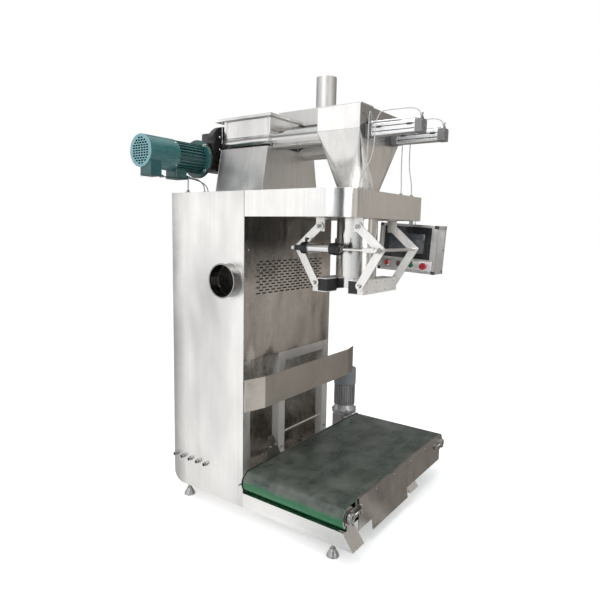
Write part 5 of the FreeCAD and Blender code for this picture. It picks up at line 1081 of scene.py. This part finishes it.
class PACKER_OT_panel(bpy.types.Operator):
    """Finishes and trim of the operator panel"""
    bl_idname = "packer.panel"
    bl_label = "Operator panel"

    def execute(self, context):
        dress("anodised", "panel_box")
        dress("bezel_black", "panel_screen")
        dress("button_red", "power_button", "stop_button")
        dress("button_dark", "reset_button")
        dress("button_green", "start_button")
        middle = Vector((pivot("panel_swing").x, pivot("panel_swing").y, 1552 * MM))
        hung = Matrix.Translation(middle) @ Matrix.Rotation(math.radians(3), 4, "X")
        outward, left = hung.to_3x3() @ Vector((-1, 0, 0)), hung.to_3x3() @ Vector((0, -1, 0))
        half_depth, half_width, half_height, grow = 70 * MM, 184 * MM, 142.5 * MM, 0.6 * MM
        corners = Fitting()
        for x in both(half_depth):
            for y in both(half_width):
                for z in both(half_height):
                    low = [min(v, v - math.copysign(19 * MM, v)) for v in (x, y, z)]
                    high = [max(v, v - math.copysign(19 * MM, v)) for v in (x, y, z)]
                    corners.slab([v - grow for v in low], [v + grow for v in high], 2.4 * MM, hung, 3)
        corners.ride("panel_corners", "trim_dark", "panel", "rubber_black")

        ribs = Fitting()
        for side in (-1, 1):
            for n in range(11):
                x = (-45 + 9 * n) * MM
                low, high = sorted((side * 179.5 * MM, side * 182.6 * MM))
                ribs.slab((x - 2.2 * MM, low, -122 * MM), (x + 2.2 * MM, high, 122 * MM), 0.8 * MM, hung)
        ribs.ride("panel_side_ribs", "anodised", "panel", "aluminium")

        face = Fitting()
        face.slab((-66.6 * MM, -167 * MM, -125.5 * MM), (-65.6 * MM, 167 * MM, -70.5 * MM), 0.3 * MM, hung)
        face.ride("button_plate", "anodised", "panel", "aluminium")
        display = Fitting()
        display.slab((-68.0 * MM, -108 * MM, -27 * MM), (-66.6 * MM, 118 * MM, 88 * MM), 0.4 * MM, hung)
        display.ride("touch_display", "display_glass", "panel", "screen")

        rings = Fitting()
        for y in (124 * MM, 44 * MM, -36 * MM, -120 * MM):
            reach = 15.3 * MM if y > -100 * MM else 13 * MM
            rings.turned([(reach, 0), (reach + 4.5 * MM, 0), (reach + 4.2 * MM, 1.6 * MM),
                          (reach + 0.6 * MM, 3.4 * MM), (reach, 3.2 * MM), (reach, 0)],
                         hung @ Vector((-66.6 * MM, y, -98 * MM)), outward, 32)
        for y in both(158 * MM):
            for z in (-78 * MM, -118 * MM):
                rings.cap_screw(hung @ Vector((-66.6 * MM, y, z)), outward, 3 * MM, 1.6 * MM)
        rings.ride("button_rings", "chromed", "panel", "chrome")

        hinge = Fitting()
        for z in both(92 * MM):
            hinge.slab((-40 * MM, 180 * MM, z - 14 * MM), (-8 * MM, 183.2 * MM, z + 14 * MM), 1 * MM, hung)
        hinge.turned([(0, 0), (9 * MM, 0), (9 * MM, 3 * MM), (7 * MM, 4.5 * MM), (0, 4.5 * MM)],
                     hung @ Vector((50 * MM, -179.5 * MM, 0)), left, 24)
        hinge.ride("panel_lock", "fastening", "panel", "steel_dark")
        mount = Fitting()
        root = (WALL_RIGHT + 8 * MM, middle.y, 1775 * MM)
        for point in ring_of(root, (1, 0, 0), 35 * MM, 4, 45):
            mount.hex_bolt(point, (1, 0, 0), 10 * MM, 6 * MM)
        mount.ring_bead(root, (1, 0, 0), 25 * MM, 1.6 * MM, 48)
        mount.ride("panel_arm_bolts", "fastening", "frame", "steel_dark")
        return {"FINISHED"}


class PACKER_OT_conveyor(bpy.types.Operator):
    """Finish of the belt, and the fastenings of conveyor and guard"""
    bl_idname = "packer.conveyor"
    bl_label = "Conveyor and guard"

    def execute(self, context):
        across = context.scene.packer_looks.bolt_across
        dress("belt_cover", "conveyor_belt")
        dress("machined", "take_up_bearings")
        near = NEAR_PLATE
        bolts = Fitting()
        for place, inward in ((IDLER, 1), (DRIVE, -1)):
            for dz in both(21 * MM):
                bolts.hex_bolt((place.x - inward * 2 * MM, near - 14 * MM, place.z + dz), (0, -1, 0),
                               9 * MM, 5 * MM)
            bolts.washer((place.x, near - 14 * MM, place.z), (0, -1, 0), 12.6 * MM, 20 * MM, 1.6 * MM)
            for along, thick in ((66 * MM, 8 * MM), (88 * MM, 7 * MM)):
                bolts.hex_nut((place.x + inward * along, near - 7 * MM, place.z), (inward, 0, 0), 17 * MM,
                              thick)
            bolts.turned([(5 * MM, 0)] + [(reach * MM, level * MM) for n in range(18)
                                         for reach, level in ((5.0, n * 2.4), (5.9, n * 2.4 + 1.2))]
                         + [(5 * MM, 44 * MM)],
                         (place.x + inward * 32 * MM, near - 7 * MM, place.z), (inward, 0, 0), 16)
            for dz in (-19 * MM, 18 * MM):
                bolts.hex_bolt((place.x + inward * 114 * MM, near, place.z + dz), (0, -1, 0), across, 7 * MM)
        for x in (-100 * MM, 120 * MM, 340 * MM, 560 * MM):
            bolts.dome_screw((x, near, 284 * MM), (0, -1, 0), 5.5 * MM, 2.8 * MM)
        for x in (-105 * MM, 268 * MM):
            bolts.dome_screw((x, near - 4 * MM, 98 * MM), (0, -1, 0), 5 * MM, 2.6 * MM)
        ear_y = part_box("conveyor_sides")[1].y - 4 * MM
        for x in both(26 * MM):
            bolts.hex_bolt((x - 165 * MM, ear_y, 372 * MM), (0, -1, 0), across, 7 * MM)
        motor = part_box("conveyor_motor_frame")
        axle = ((motor[0].x + motor[1].x) / 2, (motor[0].y + motor[1].y) / 2)
        flange_top, flange_circle, cowl_radius = 309 * MM, 87 * MM, 82 * MM
        for point in ring_of((*axle, flange_top), (0, 0, 1), flange_circle, 4, 45):
            bolts.hex_bolt(point, (0, 0, 1), across, 8 * MM)
        for point in ring_of((*axle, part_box("conveyor_motor_cowl")[0].z + 10 * MM), (0, 0, 1),
                             cowl_radius, 4, 0):
            outward = point - Vector((*axle, point.z))
            bolts.dome_screw(point - outward.normalized() * 0.4 * MM, outward, 5 * MM, 2.4 * MM)
        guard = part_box("guard_frame")
        for x in (guard[0].x + 30 * MM, guard[1].x - 30 * MM):
            bolts.hex_bolt((x, POST_FRONT, 345 * MM), (0, -1, 0), across, 7 * MM)
        bolts.ride("conveyor_bolts", "fastening", "frame", "steel_dark")

        for name, place in (("belt_idler", IDLER), ("belt_drive", DRIVE)):
            ends = Fitting()
            ends.turned([(0, 0), (10.5 * MM, 0), (10.5 * MM, 1.2 * MM), (12.2 * MM, 1.2 * MM),
                         (11.2 * MM, 4 * MM), (4 * MM, 4.4 * MM), (3 * MM, 2.4 * MM), (0, 2.4 * MM)],
                        (place.x, near - 6 * MM, place.z), (0, -1, 0), 28)
            ends.slab((place.x - 3 * MM, near - 10.6 * MM, place.z + 4 * MM),
                      (place.x + 3 * MM, near - 9.6 * MM, place.z + 10 * MM), 0.4 * MM)
            ends.ride(f"{name}_shaft_end", "fastening", name, "steel_dark")
        return {"FINISHED"}


class PACKER_OT_leads(bpy.types.Operator):
    """Motor leads and air hoses, each on one smooth line"""
    bl_idname = "packer.leads"
    bl_label = "Leads and hoses"

    def execute(self, context):
        for name, points, length in MOTOR_LEADS:
            lead(name, points, 2.6 * MM, "cable", ("motor_leads",))
        for name, points, length in AIR_HOSES:
            lead(name, points, 2.5 * MM, "hose_milky", ("air_hoses",))
        return {"FINISHED"}


class PACKER_OT_stage(bpy.types.Operator):
    """Floor, room light, lamps and camera"""
    bl_idname = "packer.stage"
    bl_label = "Stage"

    def execute(self, context):
        light = context.scene.packer_light
        sheet = bmesh.new()
        bmesh.ops.create_circle(sheet, cap_ends=True, segments=64, radius=60.0)
        data = bpy.data.meshes.new("floor")
        sheet.to_mesh(data)
        sheet.free()
        floor = bpy.data.objects.new("floor", data)
        context.scene.collection.objects.link(floor)
        data.materials.append(finish_of("floor_pale"))

        world = bpy.data.worlds.new("room")
        world.use_nodes = True
        context.scene.world = world
        tree = world.node_tree
        white = tree.nodes["Background"]
        white.inputs["Color"].default_value = (1, 1, 1, 1)
        white.inputs["Strength"].default_value = 1.0
        place = node(tree, "ShaderNodeTexCoord").outputs["Generated"]
        split = node(tree, "ShaderNodeSeparateXYZ")
        fill(tree, split.inputs[0], place)
        flag = maths(tree, "MULTIPLY", remap(tree, split.outputs["Z"], 0.0, 1.0, 0.30, 0.38),
                     remap(tree, split.outputs["Z"], 1.0, 0.0, 0.58, 0.68))
        cards = mix(tree, maths(tree, "MULTIPLY", flag, 0.72), room_colour(tree, place),
                    (0.10, 0.10, 0.105, 1))
        overhead = remap(tree, split.outputs["Z"], 0.0, 1.0, 0.60, 0.74)
        cards = mix(tree, overhead, cards, (0.95, 0.97, 1.0, 1))
        room = node(tree, "ShaderNodeBackground")
        fill(tree, room.inputs["Color"], cards)
        room.inputs["Strength"].default_value = light.room_level
        blend = node(tree, "ShaderNodeMixShader")
        fill(tree, blend.inputs[0], node(tree, "ShaderNodeLightPath").outputs["Is Camera Ray"])
        fill(tree, blend.inputs[1], room.outputs[0])
        fill(tree, blend.inputs[2], white.outputs[0])
        fill(tree, tree.nodes["World Output"].inputs["Surface"], blend.outputs[0])

        def lamp(name, point, target, extent, power):
            item_light = bpy.data.lights.new(name, "AREA")
            item_light.shape = "RECTANGLE"
            item_light.size, item_light.size_y, item_light.energy = extent[0], extent[1], power
            item = bpy.data.objects.new(name, item_light)
            item.matrix_world = aim(point, Vector(point) - Vector(target))
            context.scene.collection.objects.link(item)

        lamp("key", (-4.4, -0.2, 3.4), (0, 0.5, 1.1), (2.2, 2.6), light.key_power)
        lamp("fill", (-1.2, -4.8, 2.6), (0, 0.3, 1.1), (2.4, 2.4), light.fill_power)
        lamp("top", (-0.8, 0.2, 5.0), (0, 0.3, 1.0), (3.0, 3.0), light.top_power)

        eye = (-2.533, -1.445, 1.644)
        yaw, pitch, roll = math.radians(54.3454), math.radians(7.4576), math.radians(1.1291)
        ahead = Vector((math.sin(yaw), math.cos(yaw), 0))
        side = Vector((math.cos(yaw), -math.sin(yaw), 0))
        up = Vector((0, 0, 1))
        view = math.cos(pitch) * ahead - math.sin(pitch) * up
        lifted = math.sin(pitch) * ahead + math.cos(pitch) * up
        right = math.cos(roll) * side + math.sin(roll) * lifted
        top = -math.sin(roll) * side + math.cos(roll) * lifted
        lens = bpy.data.cameras.new("camera")
        lens.lens, lens.sensor_width, lens.sensor_fit = 31.88, 36.0, "HORIZONTAL"
        camera = bpy.data.objects.new("camera", lens)
        camera.matrix_world = Matrix((
            (right.x, top.x, -view.x, eye[0]), (right.y, top.y, -view.y, eye[1]),
            (right.z, top.z, -view.z, eye[2]), (0, 0, 0, 1)))
        context.scene.collection.objects.link(camera)
        context.scene.camera = camera
        context.scene.view_settings.view_transform = "Standard"
        return {"FINISHED"}


class PACKER_PT_sidebar(bpy.types.Panel):
    bl_label = "Powder packaging machine"
    bl_idname = "PACKER_PT_sidebar"
    bl_space_type = "VIEW_3D"
    bl_region_type = "UI"
    bl_category = "Packer"

    def draw(self, context):
        for settings in (context.scene.packer_looks, context.scene.packer_light):
            for key in settings.__annotations__:
                self.layout.prop(settings, key)
        for step in STEPS:
            self.layout.operator(step.bl_idname)


STEPS = (PACKER_OT_sheets, PACKER_OT_welds, PACKER_OT_cabinet, PACKER_OT_drives, PACKER_OT_gates,
         PACKER_OT_clamp, PACKER_OT_panel, PACKER_OT_conveyor, PACKER_OT_leads, PACKER_OT_stage)
CLASSES = (PackerLooks, PackerLight, *STEPS, PACKER_PT_sidebar)


def register():
    for item in CLASSES:
        bpy.utils.register_class(item)
    bpy.types.Scene.packer_looks = PointerProperty(type=PackerLooks)
    bpy.types.Scene.packer_light = PointerProperty(type=PackerLight)


def unregister():
    del bpy.types.Scene.packer_light
    del bpy.types.Scene.packer_looks
    for item in reversed(CLASSES):
        bpy.utils.unregister_class(item)


def main():
    register()
    bpy.ops.packer.sheets()
    bpy.ops.packer.welds()
    bpy.ops.packer.cabinet()
    bpy.ops.packer.drives()
    bpy.ops.packer.gates()
    bpy.ops.packer.clamp()
    bpy.ops.packer.panel()
    bpy.ops.packer.conveyor()
    bpy.ops.packer.leads()
    bpy.ops.packer.stage()


if __name__ == "__main__":
    main()
